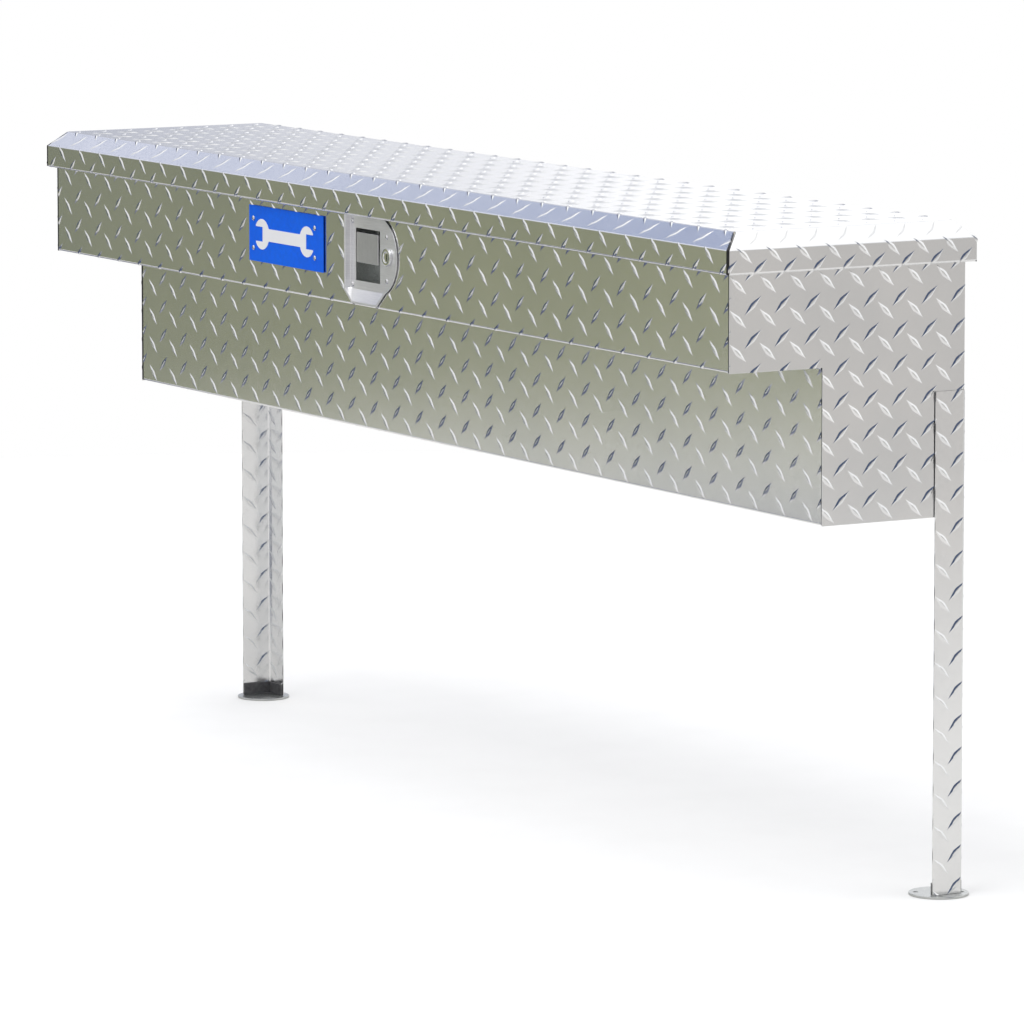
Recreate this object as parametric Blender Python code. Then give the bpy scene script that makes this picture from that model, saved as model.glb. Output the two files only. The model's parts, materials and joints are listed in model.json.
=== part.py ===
# Side-mount tool box for a pickup bed: an L-section box that hangs on the bed rail by its shelf,
# with a hinged lid at the back edge and two angle legs that stand on the bed floor.
# Lengths in metres. X runs along the box, Y from its front to its back, Z up.
# The origin is in the middle of the shelf's underside, where the box sits on the rail.

import bpy
import bmesh
from math import cos, hypot, pi, radians, sin
from mathutils import Matrix, Vector

for old in list(bpy.data.objects):
    bpy.data.objects.remove(old, do_unlink=True)

mm = 0.001

# Clearances
touch = 0.3 * mm          # between pieces that rest on each other
running = 0.25 * mm       # around a pin or shaft that turns
hole_slack = 0.4 * mm     # around a rivet or bolt shank

# Box body
body_length = 1829 * mm
body_depth = 346 * mm
upper_height = 122 * mm       # lid lip to shelf
lower_height = 196.5 * mm     # shelf to floor
shelf_depth = 135.8 * mm
sheet = 1.6 * mm              # tread plate, without its pattern
rim_height = 22 * mm          # body above the lid lip
rim_width = 18 * mm
rim_relief = 0.1 * mm         # end rims sit this much below the long rims

# Lid
lip_height = 30.6 * mm
bevel_rise = 21.8 * mm
over_front = 10.7 * mm
over_end = 12.2 * mm
over_back = 9.2 * mm
run_front = 22.8 * mm
run_end = 21.3 * mm
run_back = 23.9 * mm
lip_return = 6 * mm
liner_sheet = 1 * mm
seal_height = 6 * mm
seal_inset = 2 * mm
seal_width = 14 * mm
core_gap = 0.186 * mm         # foam core clear of the back bevel's inner face

# Continuous hinge
hinge_length = 1800 * mm
hinge_sheet = 1.2 * mm
hinge_drop = 4 * mm           # pin below the lid lip
hinge_leaf = 32 * mm
hinge_pin_radius = 1.5 * mm
knuckle_pitch = 150 * mm
knuckle_gap = 0.5 * mm
leaf_above_curl = 3.5 * mm    # where the body leaf starts to curl
lid_leaf_rise = 25.6 * mm
leaf_clearance = 0.2 * mm     # more room around the curl where a knuckle is missing

# Legs and feet
leg_width = 46.3 * mm
leg_flange = 40 * mm
leg_top = 160.4 * mm          # below the lid lip
leg_bottom = 795 * mm         # below the lid lip
foot_radius = 38 * mm
foot_inset_x = 20.9 * mm      # foot centre from the leg's outer faces
foot_inset_y = 23.3 * mm
foot_thickness = 3 * mm
foot_hole_radius = 3.5 * mm
foot_hole_circle = 29 * mm
foot_holes = 4
foot_hole_turn = radians(60)
bracket_height = 16 * mm
bracket_sheet = 2.5 * mm
bolt_radius = 4 * mm
bolt_head_radius = 7.2 * mm
bolt_head_height = 5.3 * mm
nut_height = 6.5 * mm
bolt_end = 2 * mm             # thread past the nut
bolt_drops = (200 * mm, 285 * mm)
bolt_inset = 20 * mm          # from the leg's outer face

# Latch, measured from the body's middle and from the lid lip
dish_left = 53 * mm
dish_arc_x = 38 * mm
dish_arc_z = -50 * mm
dish_radius = 53 * mm
dish_depth = 7 * mm
dish_sheet = 1 * mm
dish_rim = 2.6 * mm
dish_slope = 1.6 * mm
scoop_drop = 16 * mm
scoop_left = 32 * mm
scoop_right = 34 * mm
scoop_floor = 41 * mm
dish_overlap = 0.5 * mm       # dish rim over the edge of its hole
dish_arc_ends = (-68, 90)     # degrees
window_left = 35 * mm
window_right = 31 * mm
window_below_top = 21 * mm    # from the dish's top
window_above_bottom = 14.5 * mm
case_wall = 1.2 * mm
case_margin = 3 * mm
case_depth = 30 * mm
case_slot_wall = 4 * mm       # in front of the pawl's slot
case_hole_slack = 1 * mm      # around the lock
case_flange_inset = 5 * mm    # inside the dish's outline
paddle_gap_left = 2.5 * mm
paddle_gap_right = 4.5 * mm
paddle_gap_top = 6 * mm
paddle_height = 40 * mm
paddle_sheet = 2 * mm
paddle_set_out = 0.5 * mm
paddle_pin_back = 6.5 * mm    # behind the dish's floor
paddle_pin_drop = 4 * mm      # below the paddle's top
latch_pin_radius = 2 * mm
pin_past_case = 2 * mm
ear_wall = 2.5 * mm           # metal round the paddle's pin
ear_above = 3 * mm
ear_below = 12 * mm
ear_width = 3 * mm
ear_inset = 4 * mm
lever_short = 3.5 * mm        # lever's tip in front of the pawl's pin
lever_drop = 9.5 * mm
pawl_pin_back = 17 * mm
pawl_pin_drop = 16 * mm       # below the paddle's pin
pawl_thickness = 4 * mm
pawl_hub_radius = 5.5 * mm
hub_step = 0.5 * mm
striker_y = 30 * mm
striker_z = -3 * mm
striker_radius = 3 * mm
striker_width = 26 * mm
striker_strap = 3 * mm
striker_base_length = 46.8 * mm
striker_base_width = 18.2 * mm
nose_clearance = 0.6 * mm
nose_lift = 0.8 * mm
nose_height = 3 * mm
arm_behind = 1.5 * mm
arm_ahead = 2.5 * mm
lock_x = 52 * mm
lock_z = -51 * mm
lock_bezel_radius = 12 * mm
lock_bezel_height = 3 * mm
lock_chamfer = 1 * mm
lock_radius = 9.5 * mm
lock_length = 24 * mm
keyway_width = 2.2 * mm
keyway_height = 9 * mm
cam_length = 22 * mm
cam_width = 11 * mm
cam_thickness = 2 * mm
rivet_from_left = 9.5 * mm
rivet_from_top = 12.5 * mm
rivet_from_bottom = 8.4 * mm
rivet_from_arc_top = 24.9 * mm
rivet_from_arc_bottom = 17.7 * mm
rivet_turn_top = radians(65.6)
rivet_turn_bottom = radians(-70.8)

# Name plate
plate_left = -321.7 * mm
plate_right = -110.8 * mm
plate_top = -8.6 * mm
plate_bottom = -85 * mm
plate_thickness = 1.5 * mm
plate_rivet_left = 13.8 * mm
plate_rivet_right = 22.5 * mm
plate_rivet_top = 17.7 * mm
plate_rivet_bottom = 18.2 * mm
rivet_head_radius = 3.4 * mm
rivet_head_height = 1.3 * mm
rivet_shank_radius = 1.9 * mm
rivet_tail_radius = 2.9 * mm
rivet_tail = 1.8 * mm

# Gas struts
strut_inset = 33 * mm         # strut centre line from the end panel's outer face
strut_foot_from_back = 61 * mm
strut_foot_drop = 168 * mm    # below the lid lip
strut_head_from_back = 166 * mm
strut_head_below_liner = 9.6 * mm
strut_tube_radius = 11 * mm
strut_bore_radius = 9.8 * mm
strut_gland_radius = 5.2 * mm
strut_tube_start = 18 * mm
strut_tube_end = 180 * mm
strut_wall = 6 * mm
strut_rod_radius = 4 * mm
strut_rod_length = 185 * mm
strut_piston_radius = 8.8 * mm
strut_piston_height = 7 * mm
strut_neck_radius = 4 * mm
eye_radius = 6.5 * mm
eye_margin = 1 * mm           # more metal round the tube's eye and on the head bracket
eye_width = 8 * mm
stud_radius = 4 * mm
stud_head_radius = 6 * mm
stud_head = 2.5 * mm
stud_base_radius = 10 * mm
stud_base = 3 * mm
bracket_plate = 2 * mm
bracket_length = 36 * mm
bracket_step = 0.1 * mm       # foot of the bracket inside its upright

# Places that follow from the sizes
half_length = body_length / 2
inner_half = half_length - sheet
lid_half = half_length + over_end
lid_top = lip_height + bevel_rise
lid_back = body_depth + over_back
floor_z = -(upper_height + lower_height)
seal_bottom = rim_height + touch
liner_bottom = seal_bottom + seal_height + touch
liner_top = liner_bottom + liner_sheet
pin_y = lid_back - sheet - touch - hinge_sheet / 2 - (hinge_pin_radius + running + hinge_sheet / 2)
curl_radius = hinge_pin_radius + running + hinge_sheet / 2
leg_out = half_length + touch
leg_back = body_depth + touch
foot_x = leg_out + sheet - foot_inset_x
foot_y = leg_back + sheet - foot_inset_y
dish_floor = dish_depth
case_front = dish_depth + dish_sheet + touch
dish_top = dish_arc_z + dish_radius
dish_bottom = dish_arc_z - dish_radius
window_top = dish_top - window_below_top
window_bottom = dish_bottom + window_above_bottom
paddle_top = window_top - paddle_gap_top
paddle_bottom = paddle_top - paddle_height
paddle_front = dish_floor - paddle_set_out
paddle_pin_y = dish_floor + paddle_pin_back
paddle_pin_z = paddle_top - paddle_pin_drop
pawl_pin_y = dish_floor + pawl_pin_back
pawl_pin_z = paddle_pin_z - pawl_pin_drop
arc_top = dish_radius - rivet_from_arc_top
arc_bottom = dish_radius - rivet_from_arc_bottom
rivet_left = -dish_left + rivet_from_left
latch_rivets = ((rivet_left, dish_top - rivet_from_top),
                (dish_arc_x + arc_top * cos(rivet_turn_top), dish_arc_z + arc_top * sin(rivet_turn_top)),
                (rivet_left, dish_bottom + rivet_from_bottom),
                (dish_arc_x + arc_bottom * cos(rivet_turn_bottom),
                 dish_arc_z + arc_bottom * sin(rivet_turn_bottom)))
plate_rivets = [(x, z) for z in (plate_top - plate_rivet_top, plate_bottom + plate_rivet_bottom)
                for x in (plate_left + plate_rivet_left, plate_right - plate_rivet_right)]
strut_x = half_length - strut_inset
strut_foot = (body_depth - strut_foot_from_back, -strut_foot_drop)
strut_head = (body_depth - strut_head_from_back, liner_bottom - strut_head_below_liner)

box_frame = bpy.data.objects.new("box_frame", None)
bpy.context.collection.objects.link(box_frame)
box_frame.location = (0, -shelf_depth / 2, upper_height)


# ---------------------------------------------------------------- materials and shapes

def make_material(name, colour, metallic, roughness):
    material = bpy.data.materials.new(name)
    material.use_nodes = True
    shader = material.node_tree.nodes["Principled BSDF"]
    shader.inputs["Base Color"].default_value = (*colour, 1)
    shader.inputs["Metallic"].default_value = metallic
    shader.inputs["Roughness"].default_value = roughness
    return material


tread_plate = make_material("tread_plate", (0.78, 0.79, 0.80), 1, 0.22)
mill_aluminium = make_material("mill_aluminium", (0.75, 0.76, 0.77), 1, 0.38)
stainless = make_material("stainless", (0.66, 0.67, 0.69), 1, 0.25)
zinc_steel = make_material("zinc_steel", (0.56, 0.57, 0.58), 1, 0.4)
black_steel = make_material("black_steel", (0.03, 0.03, 0.03), 0.6, 0.45)
seal_rubber = make_material("seal_rubber", (0.02, 0.02, 0.02), 0, 0.8)
foam = make_material("foam", (0.82, 0.74, 0.52), 0, 0.9)
plate_blue = make_material("plate_blue", (0.0, 0.16, 0.8), 0.1, 0.35)


def add(name, bm, material, pivot=(0, 0, 0), parent=None, smooth=False):
    # bm is in box coordinates and the object's origin goes to pivot
    bmesh.ops.remove_doubles(bm, verts=bm.verts, dist=0.000001)
    bmesh.ops.recalc_face_normals(bm, faces=bm.faces)
    bmesh.ops.translate(bm, verts=bm.verts, vec=-Vector(pivot))
    mesh = bpy.data.meshes.new(name)
    bm.to_mesh(mesh)
    bm.free()
    obj = bpy.data.objects.new(name, mesh)
    bpy.context.collection.objects.link(obj)
    obj.data.materials.append(material)
    obj.parent = parent or box_frame
    obj.location = Vector(pivot) if parent is None else (0, 0, 0)
    if smooth:
        mesh.shade_smooth()
        mesh.set_sharp_from_angle(angle=radians(35))
    return obj


def axis_empty(name, place):
    empty = bpy.data.objects.new(name, None)
    bpy.context.collection.objects.link(empty)
    empty.parent = box_frame
    empty.location = place
    return empty


def box(low, high):
    bm = bmesh.new()
    bmesh.ops.create_cube(bm, size=1)
    size = Vector(high) - Vector(low)
    middle = (Vector(high) + Vector(low)) / 2
    bmesh.ops.transform(bm, verts=bm.verts, matrix=Matrix.Translation(middle) @ Matrix.Diagonal((*size, 1)))
    return bm


def prism_x(outline, start, end):
    # a closed outline of (y, z) points drawn out along X
    bm = bmesh.new()
    face = bm.faces.new([bm.verts.new((start, y, z)) for y, z in outline])
    side = bmesh.ops.extrude_face_region(bm, geom=[face])["geom"]
    moved = [v for v in side if isinstance(v, bmesh.types.BMVert)]
    bmesh.ops.translate(bm, verts=moved, vec=(end - start, 0, 0))
    return bm


def prism_y(outline, start, end):
    # a closed outline of (x, z) points drawn out along Y
    bm = bmesh.new()
    face = bm.faces.new([bm.verts.new((x, start, z)) for x, z in outline])
    side = bmesh.ops.extrude_face_region(bm, geom=[face])["geom"]
    moved = [v for v in side if isinstance(v, bmesh.types.BMVert)]
    bmesh.ops.translate(bm, verts=moved, vec=(0, end - start, 0))
    return bm


def lathe(profile, start, direction, segments=16):
    # (radius, distance) points turned about the line from start along direction
    bm = bmesh.new()
    chain = [bm.verts.new((r, 0, s)) for r, s in profile]
    edges = [bm.edges.new(pair) for pair in zip(chain, chain[1:])]
    bmesh.ops.spin(bm, geom=chain + edges, cent=(0, 0, 0), axis=(0, 0, 1), angle=2 * pi,
                   steps=segments, use_merge=True)
    bmesh.ops.remove_doubles(bm, verts=bm.verts, dist=0.000001)
    turn = Vector((0, 0, 1)).rotation_difference(Vector(direction)).to_matrix().to_4x4()
    bmesh.ops.transform(bm, verts=bm.verts, matrix=Matrix.Translation(start) @ turn)
    return bm


def rod(start, direction, length, radius, segments=16):
    return lathe(((0, 0), (radius, 0), (radius, length), (0, length)), start, direction, segments)


def offset(path, distance):
    # the same open path moved to its left, with mitred corners
    moved = []
    for i, (y, z) in enumerate(path):
        sides = []
        if i > 0:
            sides.append((y - path[i - 1][0], z - path[i - 1][1]))
        if i < len(path) - 1:
            sides.append((path[i + 1][0] - y, path[i + 1][1] - z))
        normals = [(-b / hypot(a, b), a / hypot(a, b)) for a, b in sides]
        ny = sum(n[0] for n in normals)
        nz = sum(n[1] for n in normals)
        reach = distance * len(normals) / (ny * ny + nz * nz)
        moved.append((y + ny * reach, z + nz * reach))
    return moved


def strip(path, left, right=0):
    # outline of a bent strip that reaches left and right of its path
    return offset(path, left) + offset(path, -right)[::-1]


def modify(obj, bm, operation):
    tool = add(f"{obj.name}_{operation.lower()}_{len(obj.modifiers)}", bm, obj.data.materials[0],
               pivot=obj.location if obj.parent == box_frame else obj.parent.location,
               parent=None if obj.parent == box_frame else obj.parent)
    tool.hide_render = True
    tool.display_type = "WIRE"
    change = obj.modifiers.new(operation.lower(), "BOOLEAN")
    change.operation = operation
    change.object = tool
    return obj


def cut(obj, bm):
    return modify(obj, bm, "DIFFERENCE")


def join(obj, bm):
    return modify(obj, bm, "UNION")


def combine(*meshes):
    # shapes that don't touch become one cutter
    bm = bmesh.new()
    for part in meshes:
        mesh = bpy.data.meshes.new("shape")
        part.to_mesh(mesh)
        part.free()
        bm.from_mesh(mesh)
        bpy.data.meshes.remove(mesh)
    return bm


def arc(centre, radius, start, end, steps):
    # angles in degrees
    angles = [radians(start + (end - start) * i / steps) for i in range(steps + 1)]
    return [(centre[0] + radius * cos(a), centre[1] + radius * sin(a)) for a in angles]


# ---------------------------------------------------------------- box body

def dish_outline(inset):
    # straight on the left and below, round on the right
    left = -dish_left + inset
    bottom = dish_arc_z - dish_radius + inset
    start = (left, bottom)
    scoop = [(-scoop_left + inset / 2, bottom - scoop_drop), (scoop_right - inset / 2, bottom - scoop_drop)]
    right = arc((dish_arc_x, dish_arc_z), dish_radius - inset, *dish_arc_ends, 12)
    return [start] + scoop + right + [(left, dish_arc_z + dish_radius - inset)]


def make_body():
    back_top = (body_depth - rim_width, rim_height)
    path = [(rim_width, rim_height), (0, rim_height), (0, -upper_height), (shelf_depth, -upper_height),
            (shelf_depth, floor_z), (body_depth, floor_z), (body_depth, rim_height), back_top]
    reach = inner_half - touch
    wrap = add("body_wrap", prism_x(strip(path, sheet), -reach, reach), tread_plate)
    hole = dish_outline(dish_overlap)
    cut(wrap, prism_y(hole, -sheet, sheet * 3))
    shanks = [rod((x, -sheet, z), (0, 1, 0), sheet * 4, rivet_shank_radius + hole_slack, 12)
              for x, z in plate_rivets]
    cut(wrap, combine(*shanks))
    bolts = []
    for side in (-1, 1):
        for drop in bolt_drops:
            place = (side * (leg_out + sheet - bolt_inset), body_depth - sheet * 3, -drop)
            bolts.append(rod(place, (0, 1, 0), sheet * 6, bolt_radius + hole_slack, 12))
    cut(wrap, combine(*bolts))

    outline = [(0, rim_height), (0, -upper_height), (shelf_depth, -upper_height), (shelf_depth, floor_z),
               (body_depth, floor_z), (body_depth, rim_height)]
    for name, side in (("left", -1), ("right", 1)):
        panel = add(f"end_panel_{name}", prism_x(outline, side * inner_half, side * half_length), tread_plate)
        top = rim_height - rim_relief
        rim_ends = sorted((side * (half_length - sheet / 2), side * (half_length - rim_width)))
        join(panel, box((rim_ends[0], rim_width + touch, top - sheet),
                        (rim_ends[1], body_depth - rim_width - touch, top)))

    outer = box((-half_length + seal_inset, seal_inset, seal_bottom),
                (half_length - seal_inset, body_depth - seal_inset, seal_bottom + seal_height))
    seal = add("weather_seal", outer, seal_rubber)
    edge = seal_inset + seal_width
    cut(seal, box((-half_length + edge, edge, seal_bottom - seal_height),
                  (half_length - edge, body_depth - edge, seal_bottom + seal_height * 2)))


# ---------------------------------------------------------------- hinge

def hinge_gaps(first, low, high):
    # boxes that clear every second knuckle of a leaf
    gaps = []
    count = round(hinge_length / knuckle_pitch)
    for i in range(first, count, 2):
        start = -hinge_length / 2 + i * knuckle_pitch
        ends = [start - knuckle_gap / 2, start + knuckle_pitch + knuckle_gap / 2]
        if i == 0:
            ends[0] -= knuckle_gap * 4
        if i == count - 1:
            ends[1] += knuckle_gap * 4
        gaps.append(box((ends[0], body_depth - sheet, low), (ends[1], lid_back + over_back, high)))
    return combine(*gaps)


def make_hinge(lid_axis):
    ends = (-hinge_length / 2, hinge_length / 2)
    body_face = leg_back + hinge_sheet / 2
    centre = (pin_y, -hinge_drop)
    body_path = [(body_face, -hinge_drop - hinge_leaf), (body_face, -hinge_drop - leaf_above_curl)]
    body_path += arc(centre, curl_radius, 175, -120, 12)
    half = hinge_sheet / 2
    leaf = add("hinge_body_leaf", prism_x(strip(body_path, half, half), *ends), stainless)
    clear = hinge_pin_radius + running + hinge_sheet + touch + leaf_clearance
    cut(leaf, hinge_gaps(1, -hinge_drop - clear, hinge_leaf))

    lid_face = lid_back - sheet - touch - hinge_sheet / 2
    lid_path = [(lid_face, -hinge_drop + lid_leaf_rise), (lid_face, -hinge_drop)]
    lid_path += arc(centre, curl_radius, -12, -285, 12)
    lid_leaf = add("hinge_lid_leaf", prism_x(strip(lid_path, half, half), *ends),
                   stainless, pivot=lid_axis.location, parent=lid_axis)
    cut(lid_leaf, hinge_gaps(0, -hinge_leaf, -hinge_drop + clear))
    pin = rod((-hinge_length / 2, *centre), (1, 0, 0), hinge_length, hinge_pin_radius, 12)
    add("hinge_pin", pin, stainless, smooth=True)


# ---------------------------------------------------------------- lid

def rectangle(bm, inset_end, inset_front, inset_back, z):
    x = lid_half - inset_end
    front = -over_front + inset_front
    back = lid_back - inset_back
    corners = ((-x, front), (x, front), (x, back), (-x, back))
    return [bm.verts.new((x, y, z)) for x, y in corners]


def wall(bm, lower, upper):
    for i in range(len(lower)):
        j = (i + 1) % len(lower)
        bm.faces.new((lower[i], lower[j], upper[j], upper[i]))


def make_lid(lid_axis):
    bm = bmesh.new()
    top = rectangle(bm, run_end, run_front, run_back, lid_top)
    shoulder = rectangle(bm, 0, 0, 0, lip_height)
    lip = rectangle(bm, 0, 0, 0, 0)
    back_stop = -over_front + body_depth
    inner_x = lid_half - lip_return
    inner_y = -over_front + lip_return
    turned = [bm.verts.new((x, y, 0)) for x, y in ((-inner_x, back_stop), (-inner_x, inner_y),
                                                   (inner_x, inner_y), (inner_x, back_stop))]
    ends = [bm.verts.new((side * lid_half, back_stop, 0)) for side in (-1, 1)]
    bm.faces.new(top)
    wall(bm, shoulder, top)
    bm.faces.new((lip[0], lip[1], shoulder[1], shoulder[0]))
    bm.faces.new((lip[1], ends[1], lip[2], shoulder[2], shoulder[1]))
    bm.faces.new((lip[2], lip[3], shoulder[3], shoulder[2]))
    bm.faces.new((lip[3], ends[0], lip[0], shoulder[0], shoulder[3]))
    bm.faces.new((lip[0], ends[0], turned[0], turned[1]))
    bm.faces.new((lip[0], turned[1], turned[2], lip[1]))
    bm.faces.new((lip[1], turned[2], turned[3], ends[1]))
    bmesh.ops.recalc_face_normals(bm, faces=bm.faces)
    skin = add("lid_skin", bm, tread_plate, pivot=lid_axis.location, parent=lid_axis)
    if skin.data.polygons[0].normal.z < 0:
        skin.data.flip_normals()
    solid = skin.modifiers.new("thickness", "SOLIDIFY")
    solid.thickness = sheet
    solid.offset = -1
    solid.use_even_offset = True

    inside = sheet + touch
    liner = box((-lid_half + inside, -over_front + inside, liner_bottom),
                (lid_half - inside, lid_back - inside - hinge_sheet - touch, liner_top))
    add("lid_liner", liner, mill_aluminium, pivot=lid_axis.location, parent=lid_axis)

    bm = bmesh.new()
    core_bottom = liner_top + touch
    core_top = lid_top - sheet - touch
    core_slack = sheet * hypot(run_back, bevel_rise) / bevel_rise + core_gap
    share = (core_top - lip_height) / bevel_rise
    low = rectangle(bm, core_slack, core_slack, core_slack + hinge_sheet, core_bottom)
    high = rectangle(bm, *[run * share + core_slack for run in (run_end, run_front, run_back)], core_top)
    bm.faces.new(low)
    bm.faces.new(high)
    wall(bm, low, high)
    add("lid_foam_core", bm, foam, pivot=lid_axis.location, parent=lid_axis)

    half = striker_width / 2
    strap_top = liner_bottom - touch
    loop = box((-half, striker_y - striker_radius, striker_z - striker_radius),
               (half, striker_y + striker_radius, strap_top - striker_strap / 2))
    base_x = striker_base_length / 2
    base_y = striker_base_width / 2
    striker = add("lid_striker", box((-base_x, striker_y - base_y, strap_top - striker_strap),
                                     (base_x, striker_y + base_y, strap_top)),
                  zinc_steel, pivot=lid_axis.location, parent=lid_axis)
    join(striker, loop)
    inner = half - striker_strap
    cut(striker, box((-inner, striker_y - half, striker_z + striker_radius),
                     (inner, striker_y + half, strap_top - striker_strap - touch)))


# ---------------------------------------------------------------- gas struts

def make_strut(name, side, lid_axis):
    foot = Vector((side * strut_x, *strut_foot))
    head = Vector((side * strut_x, *strut_head))
    along = (head - foot).normalized()
    across = Vector((1, 0, 0))
    half_eye = across * eye_width / 2

    tube_axis = axis_empty(f"strut_tube_axis_{name}", foot)
    start = strut_tube_start
    end = strut_tube_end
    cup = ((0, stud_radius), (strut_neck_radius, stud_radius), (strut_neck_radius, start),
           (strut_tube_radius, start), (strut_tube_radius, end), (strut_gland_radius, end),
           (strut_gland_radius, end - strut_wall), (strut_bore_radius, end - strut_wall),
           (strut_bore_radius, start + strut_wall), (0, start + strut_wall))
    tube = add(f"strut_tube_{name}", lathe(cup, foot, along, 20), black_steel,
               pivot=foot, parent=tube_axis, smooth=True)
    join(tube, rod(foot - half_eye, across, eye_width, eye_radius + eye_margin, 16))
    cut(tube, rod(foot - half_eye * 2, across, eye_width * 2, stud_radius + running, 16))

    rod_axis = axis_empty(f"strut_rod_axis_{name}", head)
    reach = strut_rod_length
    piston = reach - strut_piston_height
    profile = ((0, stud_radius), (strut_rod_radius, stud_radius), (strut_rod_radius, piston),
               (strut_piston_radius, piston), (strut_piston_radius, reach), (0, reach))
    shaft = add(f"strut_rod_{name}", lathe(profile, head, -along, 16), zinc_steel,
                pivot=head, parent=rod_axis, smooth=True)
    join(shaft, rod(head - half_eye, across, eye_width, eye_radius, 16))
    cut(shaft, rod(head - half_eye * 2, across, eye_width * 2, stud_radius + running, 16))

    inward = Vector((-side, 0, 0))
    length = inner_half - touch - strut_x + eye_width / 2 + running
    stud_end = ((stud_radius, length), (stud_head_radius, length), (stud_head_radius, length + stud_head),
                (0, length + stud_head))
    stud = ((0, 0), (stud_base_radius, 0), (stud_base_radius, stud_base), (stud_radius, stud_base)) + stud_end
    base = Vector((side * (inner_half - touch), *strut_foot))
    add(f"strut_stud_{name}", lathe(stud, base, inward, 16), zinc_steel, smooth=True)

    tab_near = strut_x + eye_width / 2 + running * 2
    tab_far = tab_near + bracket_plate
    top = liner_bottom - touch
    cheek = eye_radius + eye_margin
    half_length_y = bracket_length / 2
    tab = [(strut_head[0] - half_length_y, top), (strut_head[0] - cheek, strut_head[1] - cheek),
           (strut_head[0] + cheek, strut_head[1] - cheek), (strut_head[0] + half_length_y, top)]
    bracket = add(f"strut_bracket_{name}", prism_x(tab, side * tab_near, side * tab_far),
                  zinc_steel, pivot=lid_axis.location, parent=lid_axis)
    shelf_ends = sorted((side * (strut_x - eye_width), side * (tab_far - bracket_plate / 2)))
    shelf_y = half_length_y - bracket_step * 5
    join(bracket, box((shelf_ends[0], strut_head[0] - shelf_y, top - bracket_plate + bracket_step),
                      (shelf_ends[1], strut_head[0] + shelf_y, top - bracket_step)))
    pin_start = Vector((side * (tab_near + bracket_plate / 2), *strut_head))
    pin_length = bracket_plate / 2 + eye_width + running * 4
    pin = ((0, 0), (stud_radius, 0), (stud_radius, pin_length), (stud_head_radius, pin_length),
           (stud_head_radius, pin_length + stud_head), (0, pin_length + stud_head))
    join(bracket, lathe(pin, pin_start, inward, 16))


# ---------------------------------------------------------------- legs and feet

def make_leg(name, side):
    outer = leg_out + sheet
    back = leg_back + sheet
    plan = [(outer, back - leg_width), (outer, back), (outer - leg_flange, back),
            (outer - leg_flange, leg_back), (leg_out, leg_back), (leg_out, back - leg_width)]
    bm = bmesh.new()
    face = bm.faces.new([bm.verts.new((side * x, y, -leg_bottom)) for x, y in plan])
    geom = bmesh.ops.extrude_face_region(bm, geom=[face])["geom"]
    moved = [v for v in geom if isinstance(v, bmesh.types.BMVert)]
    bmesh.ops.translate(bm, verts=moved, vec=(0, 0, leg_bottom - leg_top))
    leg = add(f"leg_{name}", bm, tread_plate)
    bolt_x = side * (outer - bolt_inset)
    holes = [rod((bolt_x, leg_back - sheet, -drop), (0, 1, 0), sheet * 4, bolt_radius + hole_slack, 12)
             for drop in bolt_drops]
    cut(leg, combine(*holes))

    for number, drop in enumerate(bolt_drops, 1):
        head_start = back + touch
        inside = body_depth - sheet - touch * 2 - nut_height - bolt_end
        shank = head_start - inside + bolt_head_height / 2
        head = rod((bolt_x, head_start, -drop), (0, 1, 0), bolt_head_height, bolt_head_radius, 6)
        bolt = add(f"leg_bolt_{name}_{number}", head, zinc_steel)
        join(bolt, rod((bolt_x, inside, -drop), (0, 1, 0), shank, bolt_radius, 12))
        nut_front = body_depth - sheet - touch - nut_height
        blank = rod((bolt_x, nut_front, -drop), (0, 1, 0), nut_height, bolt_head_radius, 6)
        nut = add(f"leg_nut_{name}_{number}", blank, zinc_steel)
        bore = rod((bolt_x, nut_front - nut_height, -drop), (0, 1, 0), nut_height * 3,
                   bolt_radius + hole_slack / 2, 12)
        cut(nut, bore)

    top = -leg_bottom - touch
    disc = rod((side * foot_x, foot_y, top - foot_thickness), (0, 0, 1), foot_thickness, foot_radius, 32)
    foot = add(f"foot_plate_{name}", disc, zinc_steel, smooth=True)
    holes = []
    for i in range(foot_holes):
        turn = foot_hole_turn + i * 2 * pi / foot_holes
        place = (side * (foot_x + foot_hole_circle * cos(turn)), foot_y + foot_hole_circle * sin(turn),
                 top - foot_thickness * 2)
        holes.append(rod(place, (0, 0, 1), foot_thickness * 3, foot_hole_radius, 12))
    cut(foot, combine(*holes))

    inner_x = leg_out - touch
    inner_y = leg_back - touch
    plan = [(inner_x, back - leg_width), (inner_x, inner_y), (outer - leg_flange, inner_y),
            (outer - leg_flange, inner_y - bracket_sheet), (inner_x - bracket_sheet, inner_y - bracket_sheet),
            (inner_x - bracket_sheet, back - leg_width)]
    bm = bmesh.new()
    face = bm.faces.new([bm.verts.new((side * x, y, top + touch)) for x, y in plan])
    geom = bmesh.ops.extrude_face_region(bm, geom=[face])["geom"]
    moved = [v for v in geom if isinstance(v, bmesh.types.BMVert)]
    bmesh.ops.translate(bm, verts=moved, vec=(0, 0, bracket_height))
    add(f"foot_bracket_{name}", bm, black_steel)


# ---------------------------------------------------------------- latch

def rivet(name, x, z, front, back, material):
    # through everything between front and back, its head in front
    shank = rivet_shank_radius
    dome = ((0, -rivet_head_height), (rivet_head_radius * 0.6, -rivet_head_height * 0.75),
            (rivet_head_radius, 0))
    tail = ((shank, 0), (shank, back - front), (rivet_tail_radius, back - front),
            (rivet_tail_radius, back - front + rivet_tail), (0, back - front + rivet_tail))
    add(name, lathe(dome + tail, (x, front, z), (0, 1, 0), 12), material, smooth=True)


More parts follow.
